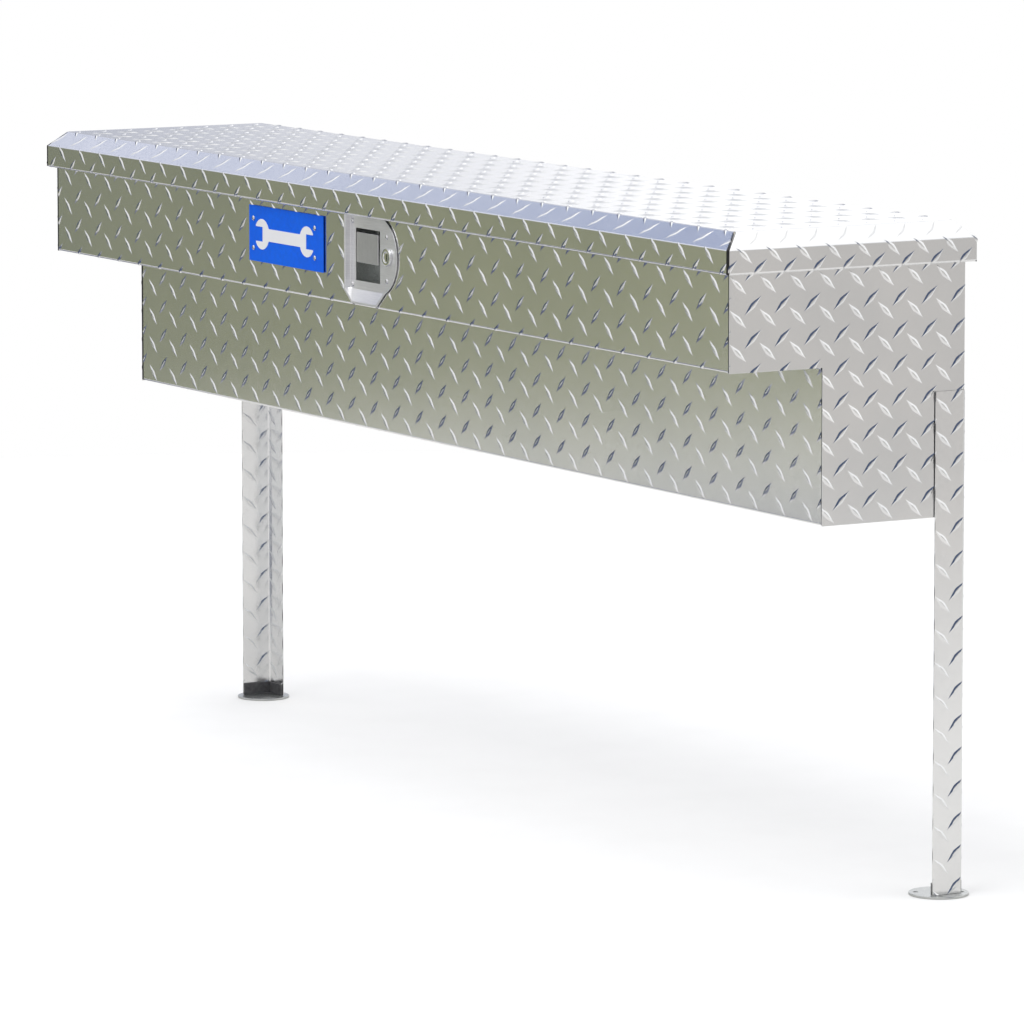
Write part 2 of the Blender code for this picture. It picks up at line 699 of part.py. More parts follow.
def make_latch(paddle_axis, pawl_axis, lock_axis):
    bm = bmesh.new()
    rim_y = -touch - dish_sheet
    rim = [bm.verts.new((x, rim_y, z)) for x, z in dish_outline(0)]
    shoulder = [bm.verts.new((x, rim_y, z)) for x, z in dish_outline(dish_rim)]
    floor_points = dish_outline(dish_rim + dish_slope)
    low = dish_arc_z - dish_radius + dish_rim
    floor_points[1] = (-scoop_floor, low)
    floor_points[2] = (scoop_floor, low)
    floor = [bm.verts.new((x, dish_floor, z)) for x, z in floor_points]
    wall(bm, rim, shoulder)
    wall(bm, shoulder, floor)
    bm.faces.new(floor)
    dish = add("latch_dish", bm, stainless)
    if dish.data.polygons[0].normal.y > 0:
        dish.data.flip_normals()
    solid = dish.modifiers.new("thickness", "SOLIDIFY")
    solid.thickness = dish_sheet
    solid.offset = -1
    solid.use_even_offset = True
    cut(dish, box((-window_left, 0, window_bottom), (window_right, dish_floor * 2, window_top)))
    shanks = [rod((x, 0, z), (0, 1, 0), dish_depth * 2, rivet_shank_radius + hole_slack, 12)
              for x, z in latch_rivets]
    shanks.append(rod((lock_x, 0, lock_z), (0, 1, 0), dish_depth * 2, lock_radius + running, 24))
    cut(dish, combine(*shanks))

    back = case_front + case_depth
    case = add("latch_case", box((-window_left - case_margin, case_front, window_bottom - case_margin),
                                 (window_right + case_margin, back, window_top + case_margin)), stainless)
    join(case, box((-dish_left + case_flange_inset, case_front, dish_bottom + case_flange_inset / 2),
                   (lock_x + case_flange_inset, case_front + case_wall, dish_top - case_flange_inset * 2)))
    reach = case_margin - case_wall
    cut(case, box((-window_left - reach, 0, window_bottom - reach),
                  (window_right + reach, back - case_wall, window_top + reach)))
    slot = pawl_thickness
    cut(case, box((-slot, case_front + case_slot_wall, window_top - case_wall),
                  (slot, back - 2 * case_wall, 0)))
    holes = [rod((x, 0, z), (0, 1, 0), back, rivet_shank_radius + hole_slack, 12)
             for x, z in latch_rivets]
    holes.append(rod((lock_x, 0, lock_z), (0, 1, 0), back, lock_radius + case_hole_slack, 24))
    cut(case, combine(*holes))
    span = (-window_left - case_margin - pin_past_case, window_right + case_margin + pin_past_case)
    for name, y, z in (("paddle_pin", paddle_pin_y, paddle_pin_z), ("pawl_pin", pawl_pin_y, pawl_pin_z)):
        cut(case, rod((span[0] * 2, y, z), (1, 0, 0), (span[1] - span[0]) * 2,
                      latch_pin_radius + running, 12))
        pin = rod((span[0], y, z), (1, 0, 0), span[1] - span[0], latch_pin_radius, 12)
        add(name, pin, zinc_steel, smooth=True)
    for number, (x, z) in enumerate(latch_rivets, 1):
        tail_start = case_front + case_wall + touch
        rivet(f"latch_rivet_{number}", x, z, dish_floor - touch, tail_start, stainless)

    front = paddle_front
    paddle_left = window_left - paddle_gap_left
    paddle_right = window_right - paddle_gap_right
    paddle = add("latch_paddle", box((-paddle_left, front, paddle_bottom),
                                     (paddle_right, front + paddle_sheet, paddle_top)),
                 stainless, pivot=paddle_axis.location, parent=paddle_axis)
    ear_outer = latch_pin_radius + ear_wall
    root = [(front + paddle_sheet / 2, paddle_pin_z + ear_above),
            (front + paddle_sheet / 2, paddle_pin_z - ear_below)]
    for x in (-paddle_left + ear_inset, paddle_right - ear_inset - ear_width):
        ear = root + arc((paddle_pin_y, paddle_pin_z), ear_outer, -60, 90, 8)
        join(paddle, prism_x(ear, x, x + ear_width))
    lever_tip = (pawl_pin_y - lever_short, paddle_pin_z - lever_drop)
    half = pawl_thickness
    lever = root + [lever_tip] + arc((paddle_pin_y, paddle_pin_z), ear_outer, -10, 90, 6)
    join(paddle, prism_x(lever, -half, half))
    cut(paddle, rod((span[0], paddle_pin_y, paddle_pin_z), (1, 0, 0), span[1] - span[0],
                    latch_pin_radius + running, 12))

    half = pawl_thickness / 2
    nose_back = striker_y - striker_radius - nose_clearance
    nose_low = striker_z + striker_radius + nose_lift
    arm_back = pawl_pin_y + arm_behind
    arm_front = pawl_pin_y - arm_ahead
    shape = [(arm_back, pawl_pin_z), (arm_back, nose_low), (nose_back, nose_low),
             (nose_back, nose_low + nose_height), (arm_front, nose_low + nose_height * 2),
             (arm_front, pawl_pin_z)]
    pawl = add("latch_pawl", prism_x(shape, -half, half), zinc_steel,
               pivot=pawl_axis.location, parent=pawl_axis)
    hub = half + hub_step
    join(pawl, rod((-hub, pawl_pin_y, pawl_pin_z), (1, 0, 0), hub * 2, pawl_hub_radius, 16))
    cut(pawl, rod((-hub * 2, pawl_pin_y, pawl_pin_z), (1, 0, 0), hub * 4, latch_pin_radius + running, 12))

    end = lock_bezel_height + lock_length
    bezel = ((0, 0), (lock_bezel_radius - lock_chamfer, 0), (lock_bezel_radius, lock_chamfer),
             (lock_bezel_radius, lock_bezel_height), (lock_radius, lock_bezel_height),
             (lock_radius, end), (0, end))
    start = dish_floor - touch - lock_bezel_height
    barrel = add("lock_barrel", lathe(bezel, (lock_x, start, lock_z), (0, 1, 0), 24), zinc_steel,
                 pivot=lock_axis.location, parent=lock_axis, smooth=True)
    cut(barrel, box((lock_x - keyway_width / 2, 0, lock_z - keyway_height / 2),
                    (lock_x + keyway_width / 2, start + lock_length / 2, lock_z + keyway_height / 2)))
    cam_start = start + end + touch
    half = cam_width / 2
    cam = [(lock_x - half, lock_z + half), (lock_x - half, lock_z - cam_length),
           (lock_x + half, lock_z - cam_length), (lock_x + half, lock_z + half)]
    add("lock_cam", prism_y(cam, cam_start, cam_start + cam_thickness), zinc_steel,
        pivot=lock_axis.location, parent=lock_axis)


def make_name_plate():
    blank = box((plate_left, -touch - plate_thickness, plate_bottom), (plate_right, -touch, plate_top))
    plate = add("name_plate", blank, plate_blue)
    shanks = [rod((x, -plate_thickness * 3, z), (0, 1, 0), plate_thickness * 5,
                  rivet_shank_radius + hole_slack, 12) for x, z in plate_rivets]
    cut(plate, combine(*shanks))
    for number, (x, z) in enumerate(plate_rivets, 1):
        rivet(f"plate_rivet_{number}", x, z, -touch * 2 - plate_thickness, sheet + touch, mill_aluminium)


lid_axis = axis_empty("lid_axis", (0, pin_y, -hinge_drop))
paddle_axis = axis_empty("paddle_axis", (0, paddle_pin_y, paddle_pin_z))
pawl_axis = axis_empty("pawl_axis", (0, pawl_pin_y, pawl_pin_z))
lock_axis = axis_empty("lock_axis", (lock_x, dish_floor, lock_z))

make_body()
make_hinge(lid_axis)
make_lid(lid_axis)
make_latch(paddle_axis, pawl_axis, lock_axis)
make_name_plate()
for side_name, side_sign in (("left", -1), ("right", 1)):
    make_strut(side_name, side_sign, lid_axis)
    make_leg(side_name, side_sign)
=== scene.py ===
# Side-mount tool box for a pickup bed: tread-plate box, lid, legs, latch and name plate.
import json
from math import atan2, cos, pi, radians, sin, tan
import bpy
import bmesh
from mathutils import Matrix, Vector


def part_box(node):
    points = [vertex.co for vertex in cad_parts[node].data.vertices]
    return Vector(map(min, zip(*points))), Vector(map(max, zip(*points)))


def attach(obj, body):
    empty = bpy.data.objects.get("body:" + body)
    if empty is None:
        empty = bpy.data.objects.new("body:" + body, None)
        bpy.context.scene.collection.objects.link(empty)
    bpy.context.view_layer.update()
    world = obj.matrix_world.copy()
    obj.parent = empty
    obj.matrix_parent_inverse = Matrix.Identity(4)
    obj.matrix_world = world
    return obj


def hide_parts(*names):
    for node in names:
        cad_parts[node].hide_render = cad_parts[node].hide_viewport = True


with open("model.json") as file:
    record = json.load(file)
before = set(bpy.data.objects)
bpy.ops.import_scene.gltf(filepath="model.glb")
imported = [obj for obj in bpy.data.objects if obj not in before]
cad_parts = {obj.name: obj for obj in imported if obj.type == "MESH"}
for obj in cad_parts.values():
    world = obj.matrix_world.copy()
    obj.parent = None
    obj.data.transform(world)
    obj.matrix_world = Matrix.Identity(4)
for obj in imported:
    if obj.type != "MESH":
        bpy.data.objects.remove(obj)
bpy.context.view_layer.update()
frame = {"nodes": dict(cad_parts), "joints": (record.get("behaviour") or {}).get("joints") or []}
mm = 0.001

wrapLow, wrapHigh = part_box("body_wrap")
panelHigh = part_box("end_panel_right")[1]
lidLow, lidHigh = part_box("lid_skin")
dishLow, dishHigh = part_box("latch_dish")
plateLow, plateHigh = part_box("name_plate")
pivots = {j["name"]: Vector(j["pos_m"]) for j in frame["joints"]}

bodyFront = wrapLow.y
bodyBack = wrapHigh.y
bodyFloor = wrapLow.z
rimTop = wrapHigh.z
shelfZ = 0.0                       # the shelf's underside is the part's origin
shelfBack = -bodyFront             # and its middle
lipZ = lidLow.z                    # lid lip, from which the latch and plate are measured
bodyHalf = panelHigh.x


def makeGroup(name, inputs, outputs):
    group = bpy.data.node_groups.new(name, "ShaderNodeTree")
    for title, kind, value in inputs:
        socket = group.interface.new_socket(title, in_out="INPUT", socket_type=kind)
        if value is not None:
            socket.default_value = value
    for title, kind in outputs:
        group.interface.new_socket(title, in_out="OUTPUT", socket_type=kind)
    return group, group.nodes.new("NodeGroupInput"), group.nodes.new("NodeGroupOutput")


def addNode(tree, kind, values=None, **settings):
    node = tree.nodes.new(kind)
    for key, value in settings.items():
        setattr(node, key, value)
    for key, value in (values or {}).items():
        node.inputs[key].default_value = value
    return node


def makeGrainGroup():                # fine rolled speckle: a value and a normal
    group, start, end = makeGroup("rolledGrain", (
        ("Scale", "NodeSocketFloat", 900.0), ("Strength", "NodeSocketFloat", 0.3),
        ("Depth", "NodeSocketFloat", 0.0002)),
        (("Speckle", "NodeSocketFloat"), ("Cloud", "NodeSocketFloat"), ("Normal", "NodeSocketVector")))
    place = addNode(group, "ShaderNodeTexCoord")
    fine = addNode(group, "ShaderNodeTexNoise", {"Detail": 2.0, "Roughness": 0.6})
    wide = addNode(group, "ShaderNodeTexNoise", {"Scale": 9.0, "Detail": 3.0})
    bump = addNode(group, "ShaderNodeBump")
    link = group.links.new
    link(place.outputs["Object"], fine.inputs["Vector"])
    link(place.outputs["Object"], wide.inputs["Vector"])
    link(start.outputs["Scale"], fine.inputs["Scale"])
    link(start.outputs["Strength"], bump.inputs["Strength"])
    link(start.outputs["Depth"], bump.inputs["Distance"])
    link(fine.outputs["Fac"], bump.inputs["Height"])
    link(fine.outputs["Fac"], end.inputs["Speckle"])
    link(wide.outputs["Fac"], end.inputs["Cloud"])
    link(bump.outputs["Normal"], end.inputs["Normal"])
    return group


def makeBrushGroup():                # long fine scratches along one axis
    group, start, end = makeGroup("brushed", (
        ("Stretch", "NodeSocketVector", (60.0, 60.0, 2600.0)), ("Strength", "NodeSocketFloat", 0.15)),
        (("Lines", "NodeSocketFloat"), ("Normal", "NodeSocketVector")))
    place = addNode(group, "ShaderNodeTexCoord")
    stretch = addNode(group, "ShaderNodeVectorMath", operation="MULTIPLY")
    noise = addNode(group, "ShaderNodeTexNoise", {"Scale": 1.0, "Detail": 3.0, "Roughness": 0.7})
    bump = addNode(group, "ShaderNodeBump", {"Distance": 0.0002})
    link = group.links.new
    link(place.outputs["Object"], stretch.inputs[0])
    link(start.outputs["Stretch"], stretch.inputs[1])
    link(stretch.outputs["Vector"], noise.inputs["Vector"])
    link(start.outputs["Strength"], bump.inputs["Strength"])
    link(noise.outputs["Fac"], bump.inputs["Height"])
    link(noise.outputs["Fac"], end.inputs["Lines"])
    link(bump.outputs["Normal"], end.inputs["Normal"])
    return group


def makeEdgeWearShadeGroup():                 # 1 on convex edges: rubbed by hands and tools on most finishes, painted shade on the blue name plate's edges
    group, start, end = makeGroup("edgeWearShade", (("Width", "NodeSocketFloat", 0.6),),
                                  (("Mask", "NodeSocketFloat"),))
    shape = addNode(group, "ShaderNodeNewGeometry")
    place = addNode(group, "ShaderNodeTexCoord")
    noise = addNode(group, "ShaderNodeTexNoise", {"Scale": 180.0, "Detail": 4.0})
    edge = addNode(group, "ShaderNodeMapRange", {"From Min": 0.5, "From Max": 0.62})
    mix = addNode(group, "ShaderNodeMath", operation="MULTIPLY")
    scale = addNode(group, "ShaderNodeMath", operation="MULTIPLY", use_clamp=True)
    link = group.links.new
    link(shape.outputs["Pointiness"], edge.inputs["Value"])
    link(place.outputs["Object"], noise.inputs["Vector"])
    link(edge.outputs["Result"], mix.inputs[0])
    link(noise.outputs["Fac"], mix.inputs[1])
    link(mix.outputs["Value"], scale.inputs[0])
    link(start.outputs["Width"], scale.inputs[1])
    link(scale.outputs["Value"], end.inputs["Mask"])
    return group


grainGroup = makeGrainGroup()
brushGroup = makeBrushGroup()
edgeWearShadeGroup = makeEdgeWearShadeGroup()


def startMaterial(name, metallic):
    material = bpy.data.materials.new(name)
    material.use_nodes = True
    tree = material.node_tree
    shader = tree.nodes["Principled BSDF"]
    shader.inputs["Metallic"].default_value = metallic
    return material, tree, shader


def mixColour(tree, factor, first, second):
    mix = addNode(tree, "ShaderNodeMix", data_type="RGBA")
    for socket, value in (("A_Color", first), ("B_Color", second)):
        target = next(i for i in mix.inputs if i.identifier == socket)
        if hasattr(value, "links"):
            tree.links.new(value, target)
        else:
            target.default_value = (*value, 1)
    tree.links.new(factor, next(i for i in mix.inputs if i.identifier == "Factor_Float"))
    return next(o for o in mix.outputs if o.identifier == "Result_Color")


def setRange(tree, value, low, high, fromLow=0.3, fromHigh=0.7):
    node = addNode(tree, "ShaderNodeMapRange", {"From Min": fromLow, "From Max": fromHigh,
                                                "To Min": low, "To Max": high})
    tree.links.new(value, node.inputs["Value"])
    return node.outputs["Result"]


def grainedMetal(name, look):        # rolled or cast metal with speckle, clouding and rubbed edges; on the blue name plate the edge tone is painted shade
    material, tree, shader = startMaterial(name, look["metallic"])
    grain = addNode(tree, "ShaderNodeGroup", node_tree=grainGroup)
    grain.inputs["Scale"].default_value = look["grain"]
    grain.inputs["Strength"].default_value = look["bump"]
    edgeWearShadeMask = addNode(tree, "ShaderNodeGroup", node_tree=edgeWearShadeGroup)
    clouded = mixColour(tree, setRange(tree, grain.outputs["Cloud"], 0, 1), look["dark"], look["light"])
    speckled = mixColour(tree, setRange(tree, grain.outputs["Speckle"], 0, look["speckle"]), clouded, look["spot"])
    edgeWearShadeTone = mixColour(tree, edgeWearShadeMask.outputs["Mask"], speckled, look["edgeWearShadeTone"])
    tree.links.new(edgeWearShadeTone, shader.inputs["Base Color"])
    rough = setRange(tree, grain.outputs["Speckle"], look["smooth"], look["rough"])
    tree.links.new(rough, shader.inputs["Roughness"])
    tree.links.new(grain.outputs["Normal"], shader.inputs["Normal"])
    return material


def brushedMetal(name, look):        # sheet or pressed metal with a directional finish
    material, tree, shader = startMaterial(name, 1.0)
    brush = addNode(tree, "ShaderNodeGroup", node_tree=brushGroup)
    brush.inputs["Stretch"].default_value = look["stretch"]
    brush.inputs["Strength"].default_value = look["bump"]
    edgeWearShadeMask = addNode(tree, "ShaderNodeGroup", node_tree=edgeWearShadeGroup)
    toned = mixColour(tree, setRange(tree, brush.outputs["Lines"], 0, 1), look["dark"], look["light"])
    edgeWearShadeTone = mixColour(tree, edgeWearShadeMask.outputs["Mask"], toned, look["edgeWearShadeTone"])
    tree.links.new(edgeWearShadeTone, shader.inputs["Base Color"])
    tree.links.new(setRange(tree, brush.outputs["Lines"], look["smooth"], look["rough"]), shader.inputs["Roughness"])
    tree.links.new(brush.outputs["Normal"], shader.inputs["Normal"])
    return material


looks = {
    "treadPlate": {"metallic": 1.0, "grain": 1100.0, "bump": 0.30, "speckle": 0.35, "smooth": 0.10, "rough": 0.24,
                   "dark": (0.80, 0.81, 0.82), "light": (0.88, 0.88, 0.88), "spot": (0.70, 0.71, 0.73),
                   "edgeWearShadeTone": (0.95, 0.95, 0.95)},
    "zincSteel": {"metallic": 1.0, "grain": 700.0, "bump": 0.12, "speckle": 0.4, "smooth": 0.22, "rough": 0.42,
                  "dark": (0.50, 0.52, 0.50), "light": (0.66, 0.67, 0.66), "spot": (0.42, 0.44, 0.45),
                  "edgeWearShadeTone": (0.8, 0.8, 0.8)},
    "blackSteel": {"metallic": 0.2, "grain": 600.0, "bump": 0.25, "speckle": 0.5, "smooth": 0.32, "rough": 0.5,
                   "dark": (0.012, 0.012, 0.013), "light": (0.022, 0.022, 0.024), "spot": (0.03, 0.03, 0.032),
                   "edgeWearShadeTone": (0.25, 0.25, 0.26)},
    # also used for the black strips in the body and lid seams: painted shade in the gaps
    "rubberAndSeamShade": {"metallic": 0.0, "grain": 500.0, "bump": 0.3, "speckle": 0.5, "smooth": 0.6, "rough": 0.85,
                   "dark": (0.012, 0.012, 0.012), "light": (0.02, 0.02, 0.02), "spot": (0.03, 0.03, 0.03),
                   "edgeWearShadeTone": (0.05, 0.05, 0.05)},
    "foam": {"metallic": 0.0, "grain": 400.0, "bump": 0.5, "speckle": 0.7, "smooth": 0.8, "rough": 0.95,
             "dark": (0.66, 0.55, 0.32), "light": (0.76, 0.66, 0.42), "spot": (0.5, 0.4, 0.22),
             "edgeWearShadeTone": (0.8, 0.72, 0.5)},
    # blue name plate: its dark navy edge tone is painted shade on the rounded edges
    "plateBlue": {"metallic": 0.0, "grain": 900.0, "bump": 0.06, "speckle": 0.15, "smooth": 0.28, "rough": 0.42,
                  "dark": (0.0, 0.14, 0.98), "light": (0.0, 0.165, 1.0), "spot": (0.0, 0.12, 0.9),
                  "edgeWearShadeTone": (0.02, 0.05, 0.25)},
    "plateMark": {"metallic": 0.0, "grain": 900.0, "bump": 0.06, "speckle": 0.1, "smooth": 0.35, "rough": 0.5,
                  "dark": (0.86, 0.87, 0.9), "light": (0.94, 0.94, 0.95), "spot": (0.8, 0.82, 0.88),
                  "edgeWearShadeTone": (0.9, 0.9, 0.9)},
    "stainless": {"stretch": (40.0, 40.0, 1800.0), "bump": 0.10, "smooth": 0.34, "rough": 0.52,
                  "dark": (0.72, 0.72, 0.74), "light": (0.86, 0.86, 0.87), "edgeWearShadeTone": (0.95, 0.95, 0.95)},
    "paddleSteel": {"stretch": (1800.0, 40.0, 40.0), "bump": 0.08, "smooth": 0.30, "rough": 0.48,
                    "dark": (0.50, 0.50, 0.52), "light": (0.60, 0.60, 0.61), "edgeWearShadeTone": (0.9, 0.9, 0.9)},
    "millAluminium": {"stretch": (12.0, 1800.0, 1800.0), "bump": 0.1, "smooth": 0.25, "rough": 0.45,
                      "dark": (0.72, 0.73, 0.74), "light": (0.82, 0.82, 0.83), "edgeWearShadeTone": (0.92, 0.92, 0.92)},
    "polished": {"stretch": (900.0, 900.0, 900.0), "bump": 0.04, "smooth": 0.08, "rough": 0.18,
                 "dark": (0.74, 0.75, 0.77), "light": (0.84, 0.84, 0.85), "edgeWearShadeTone": (0.95, 0.95, 0.95)},
}
treadPlate = grainedMetal("treadPlate", looks["treadPlate"])
zincSteel = grainedMetal("zincSteel", looks["zincSteel"])
blackSteel = grainedMetal("blackSteel", looks["blackSteel"])
rubberAndSeamShade = grainedMetal("rubberAndSeamShade", looks["rubberAndSeamShade"])
foam = grainedMetal("foam", looks["foam"])
plateBlue = grainedMetal("plateBlue", looks["plateBlue"])
plateBlue.node_tree.nodes["Principled BSDF"].inputs["Specular IOR Level"].default_value = 0.15
plateMark = grainedMetal("plateMark", looks["plateMark"])
stainless = brushedMetal("stainless", looks["stainless"])
paddleSteel = brushedMetal("paddleSteel", looks["paddleSteel"])
millAluminium = brushedMetal("millAluminium", looks["millAluminium"])
polished = brushedMetal("polished", looks["polished"])
print("materials ready")


def addPiece(name, bm, materials, body, stands, smoothAngle=32):
    mesh = bpy.data.meshes.new(name)
    bm.to_mesh(mesh)
    bm.free()
    obj = bpy.data.objects.new(name, mesh)
    bpy.context.collection.objects.link(obj)
    for material in materials:
        mesh.materials.append(material)
    mesh.shade_smooth()
    mesh.set_sharp_from_angle(angle=radians(smoothAngle))
    weigh = obj.modifiers.new("weightedNormals", "WEIGHTED_NORMAL")
    weigh.keep_sharp = True
    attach(obj, body)
    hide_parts(*stands)
    return obj


def boxMesh(low, high, radius=0.0, segments=3):
    bm = bmesh.new()
    bmesh.ops.create_cube(bm, size=1)
    size = Vector(high) - Vector(low)
    middle = (Vector(high) + Vector(low)) / 2
    bmesh.ops.transform(bm, verts=bm.verts, matrix=Matrix.Translation(middle) @ Matrix.Diagonal((*size, 1)))
    if radius:
        bmesh.ops.bevel(bm, geom=bm.edges[:], offset=radius, offset_type="OFFSET", affect="EDGES",
                        segments=segments, profile=0.5, material=-1)
    return bm


def lathe(profile, origin, direction, steps=32):
    bm = bmesh.new()
    chain = [bm.verts.new((r, 0, h)) for r, h in profile]
    edges = [bm.edges.new(pair) for pair in zip(chain, chain[1:])]
    bmesh.ops.spin(bm, geom=chain + edges, cent=(0, 0, 0), axis=(0, 0, 1), angle=2 * pi, steps=steps, use_merge=True)
    bmesh.ops.remove_doubles(bm, verts=bm.verts, dist=1e-7)
    bmesh.ops.recalc_face_normals(bm, faces=bm.faces)
    turn = Vector((0, 0, 1)).rotation_difference(Vector(direction)).to_matrix().to_4x4()
    bmesh.ops.transform(bm, verts=bm.verts, matrix=Matrix.Translation(Vector(origin)) @ turn)
    return bm


def prism(outline, axis, start, end):    # outline of 2-D points drawn out along X or Y
    bm = bmesh.new()
    place = {"X": lambda a, b: (start, a, b), "Y": lambda a, b: (a, start, b), "Z": lambda a, b: (a, b, start)}[axis]
    face = bm.faces.new([bm.verts.new(place(a, b)) for a, b in outline])
    out = bmesh.ops.extrude_face_region(bm, geom=[face])["geom"]
    moved = [v for v in out if isinstance(v, bmesh.types.BMVert)]
    shift = {"X": Vector((end - start, 0, 0)), "Y": Vector((0, end - start, 0)), "Z": Vector((0, 0, end - start))}[axis]
    bmesh.ops.translate(bm, verts=moved, vec=shift)
    bmesh.ops.recalc_face_normals(bm, faces=bm.faces)
    return bm


def joinInto(bm, *others):
    for other in others:
        mesh = bpy.data.meshes.new("shape")
        other.to_mesh(mesh)
        other.free()
        bm.from_mesh(mesh)
        bpy.data.meshes.remove(mesh)
    return bm


def cutAway(bm, *cutters):               # exact boolean difference, given back as a new bmesh
    def holder(source, name):
        mesh = bpy.data.meshes.new(name)
        source.to_mesh(mesh)
        source.free()
        obj = bpy.data.objects.new(name, mesh)
        bpy.context.collection.objects.link(obj)
        return obj
    work = holder(bm, "work")
    tools = [holder(cutter, "tool") for cutter in cutters]
    for tool in tools:
        change = work.modifiers.new("cut", "BOOLEAN")
        change.operation = "DIFFERENCE"
        change.solver = "EXACT"
        change.object = tool
    shaped = bpy.data.meshes.new_from_object(work.evaluated_get(bpy.context.evaluated_depsgraph_get()))
    result = bmesh.new()
    result.from_mesh(shaped)
    bpy.data.meshes.remove(shaped)
    for obj in [work, *tools]:
        mesh = obj.data
        bpy.data.objects.remove(obj)
        bpy.data.meshes.remove(mesh)
    return result


plateSize = {"sheet": 1.6 * mm, "bendRadius": 3.2 * mm, "bendSteps": 5, "lugHeight": 1.0 * mm,
             "lugLength": 33 * mm, "lugWidth": 7.6 * mm, "lugTurn": 44.0, "pitchX": 62.8 * mm, "pitchEnd": 43.0 * mm,
             "pitchRow": 41.4 * mm, "lugShift": -16 * mm}
proud = plateSize["lugHeight"]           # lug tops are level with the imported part's faces


class Fold:                              # outer face of a bent sheet, followed along its developed length
    def __init__(self, corners, radius, side):
        self.points = [Vector(c) for c in corners]
        self.side = side
        self.along = [(b - a).normalized() for a, b in zip(self.points, self.points[1:])]
        self.starts = [0.0]
        for a, b in zip(self.points, self.points[1:]):
            self.starts.append(self.starts[-1] + (b - a).length)
        self.bends = []
        for i in range(1, len(self.along)):
            d, e = self.along[i - 1], self.along[i]
            turn = atan2(d.x * e.y - d.y * e.x, d.dot(e))
            self.bends.append((self.starts[i], turn, radius * tan(abs(turn) / 2), i))
        self.radius = radius

    def normal(self, i):
        d = self.along[i]
        return Vector((-d.y, d.x)) * self.side

    def at(self, s, height=0.0):
        for place, turn, reach, i in self.bends:
            if abs(s - place) < reach:
                d = self.along[i - 1]
                sign = 1 if turn > 0 else -1
                left = Vector((-d.y, d.x)) * sign
                start = self.points[i] - d * reach
                centre = start + left * self.radius
                turnBy = turn * (s - place + reach) / (2 * reach)
                spin = Matrix.Rotation(turnBy, 2)
                normal = spin @ self.normal(i - 1)
                return centre + spin @ (-left * self.radius) + normal * height
        i = 0
        while i < len(self.along) - 1 and s > self.starts[i + 1]:
            i += 1
        return self.points[i] + self.along[i] * (s - self.starts[i]) + self.normal(i) * height


def bentSheet(fold, axis, start, end, sheet):   # swept along X or Y, bends rounded, given thickness
    place = {"X": lambda t, p: (t, p.x, p.y), "Y": lambda t, p: (p.x, t, p.y), "Z": lambda t, p: (p.x, p.y, t)}[axis]
    bm = bmesh.new()
    chain = [bm.verts.new(place(start, p)) for p in fold.points]
    edges = [bm.edges.new(pair) for pair in zip(chain, chain[1:])]
    grown = bmesh.ops.extrude_edge_only(bm, edges=edges)["geom"]
    moved = [v for v in grown if isinstance(v, bmesh.types.BMVert)]
    bmesh.ops.translate(bm, verts=moved, vec=Vector(place(end, Vector((0, 0)))) - Vector(place(start, Vector((0, 0)))))
    folds = [e for e in bm.edges if len(e.link_faces) == 2]
    widths = {}
    for edge in folds:
        middle = (edge.verts[0].co + edge.verts[1].co) / 2
        for _, turn, reach, i in fold.bends:
            target = Vector(place((start + end) / 2, fold.points[i]))
            if (middle - target).length < 1e-5:
                widths[edge] = reach
    for reach in sorted(set(round(w, 7) for w in widths.values())):
        group = [e for e, w in widths.items() if e.is_valid and round(w, 7) == reach]
        bmesh.ops.bevel(bm, geom=group, offset=reach, offset_type="OFFSET", affect="EDGES",
                        segments=plateSize["bendSteps"], profile=0.5, material=-1)
    bm.normal_update()
    middle = fold.at(fold.starts[1] / 2 if len(fold.starts) > 1 else 0)
    outward = Vector(place(0, fold.normal(0))) - Vector(place(0, Vector((0, 0))))
    first = min(bm.faces, key=lambda f: (f.calc_center_median() - Vector(place((start + end) / 2, middle))).length)
    if first.normal.dot(outward) < 0:
        bmesh.ops.reverse_faces(bm, faces=bm.faces[:])
    bmesh.ops.solidify(bm, geom=bm.faces[:], thickness=sheet)
    bmesh.ops.recalc_face_normals(bm, faces=bm.faces)
    return bm


def lugTemplate():                       # flat coordinates (along, across, height) and faces
    steps = 8
    across = ((-1.0, -0.30 * mm), (-0.5, 0.55), (0.0, 1.0), (0.5, 0.55), (1.0, -0.30 * mm))
    points = []
    for i in range(steps + 1):
        t = -1 + 2 * i / steps
        width = plateSize["lugWidth"] / 2 * max(0.04, (1 - abs(t) ** 1.3) ** 1.1)
        rise = max(0.0, 1 - abs(t) ** 2.2)
        for side, level in across:
            height = proud * (level * rise if level > 0 else level)
            points.append((t * plateSize["lugLength"] / 2, side * width, height))
    faces = []
    for i in range(steps):
        for j in range(len(across) - 1):
            a = i * len(across) + j
            faces.append((a, a + len(across), a + len(across) + 1, a + 1))
    return points, faces


lugPoints, lugFaces = lugTemplate()


def addLugs(bm, centres, place, keep=None):   # place(u, s, height) -> position; turned lugs on a developed sheet
    for u, s, sign in centres:
        angle = radians(plateSize["lugTurn"]) * sign
        ca, sa = cos(angle), sin(angle)
        verts = []
        for a, b, h in lugPoints:
            verts.append(bm.verts.new(place(u + a * ca - b * sa, s + a * sa + b * ca, h)))
        made = [bm.faces.new([verts[i] for i in face]) for face in lugFaces]
        if keep:
            drop = [f for f in made if not all(keep(v.co) for v in f.verts)]
            bmesh.ops.delete(bm, geom=drop, context="FACES")


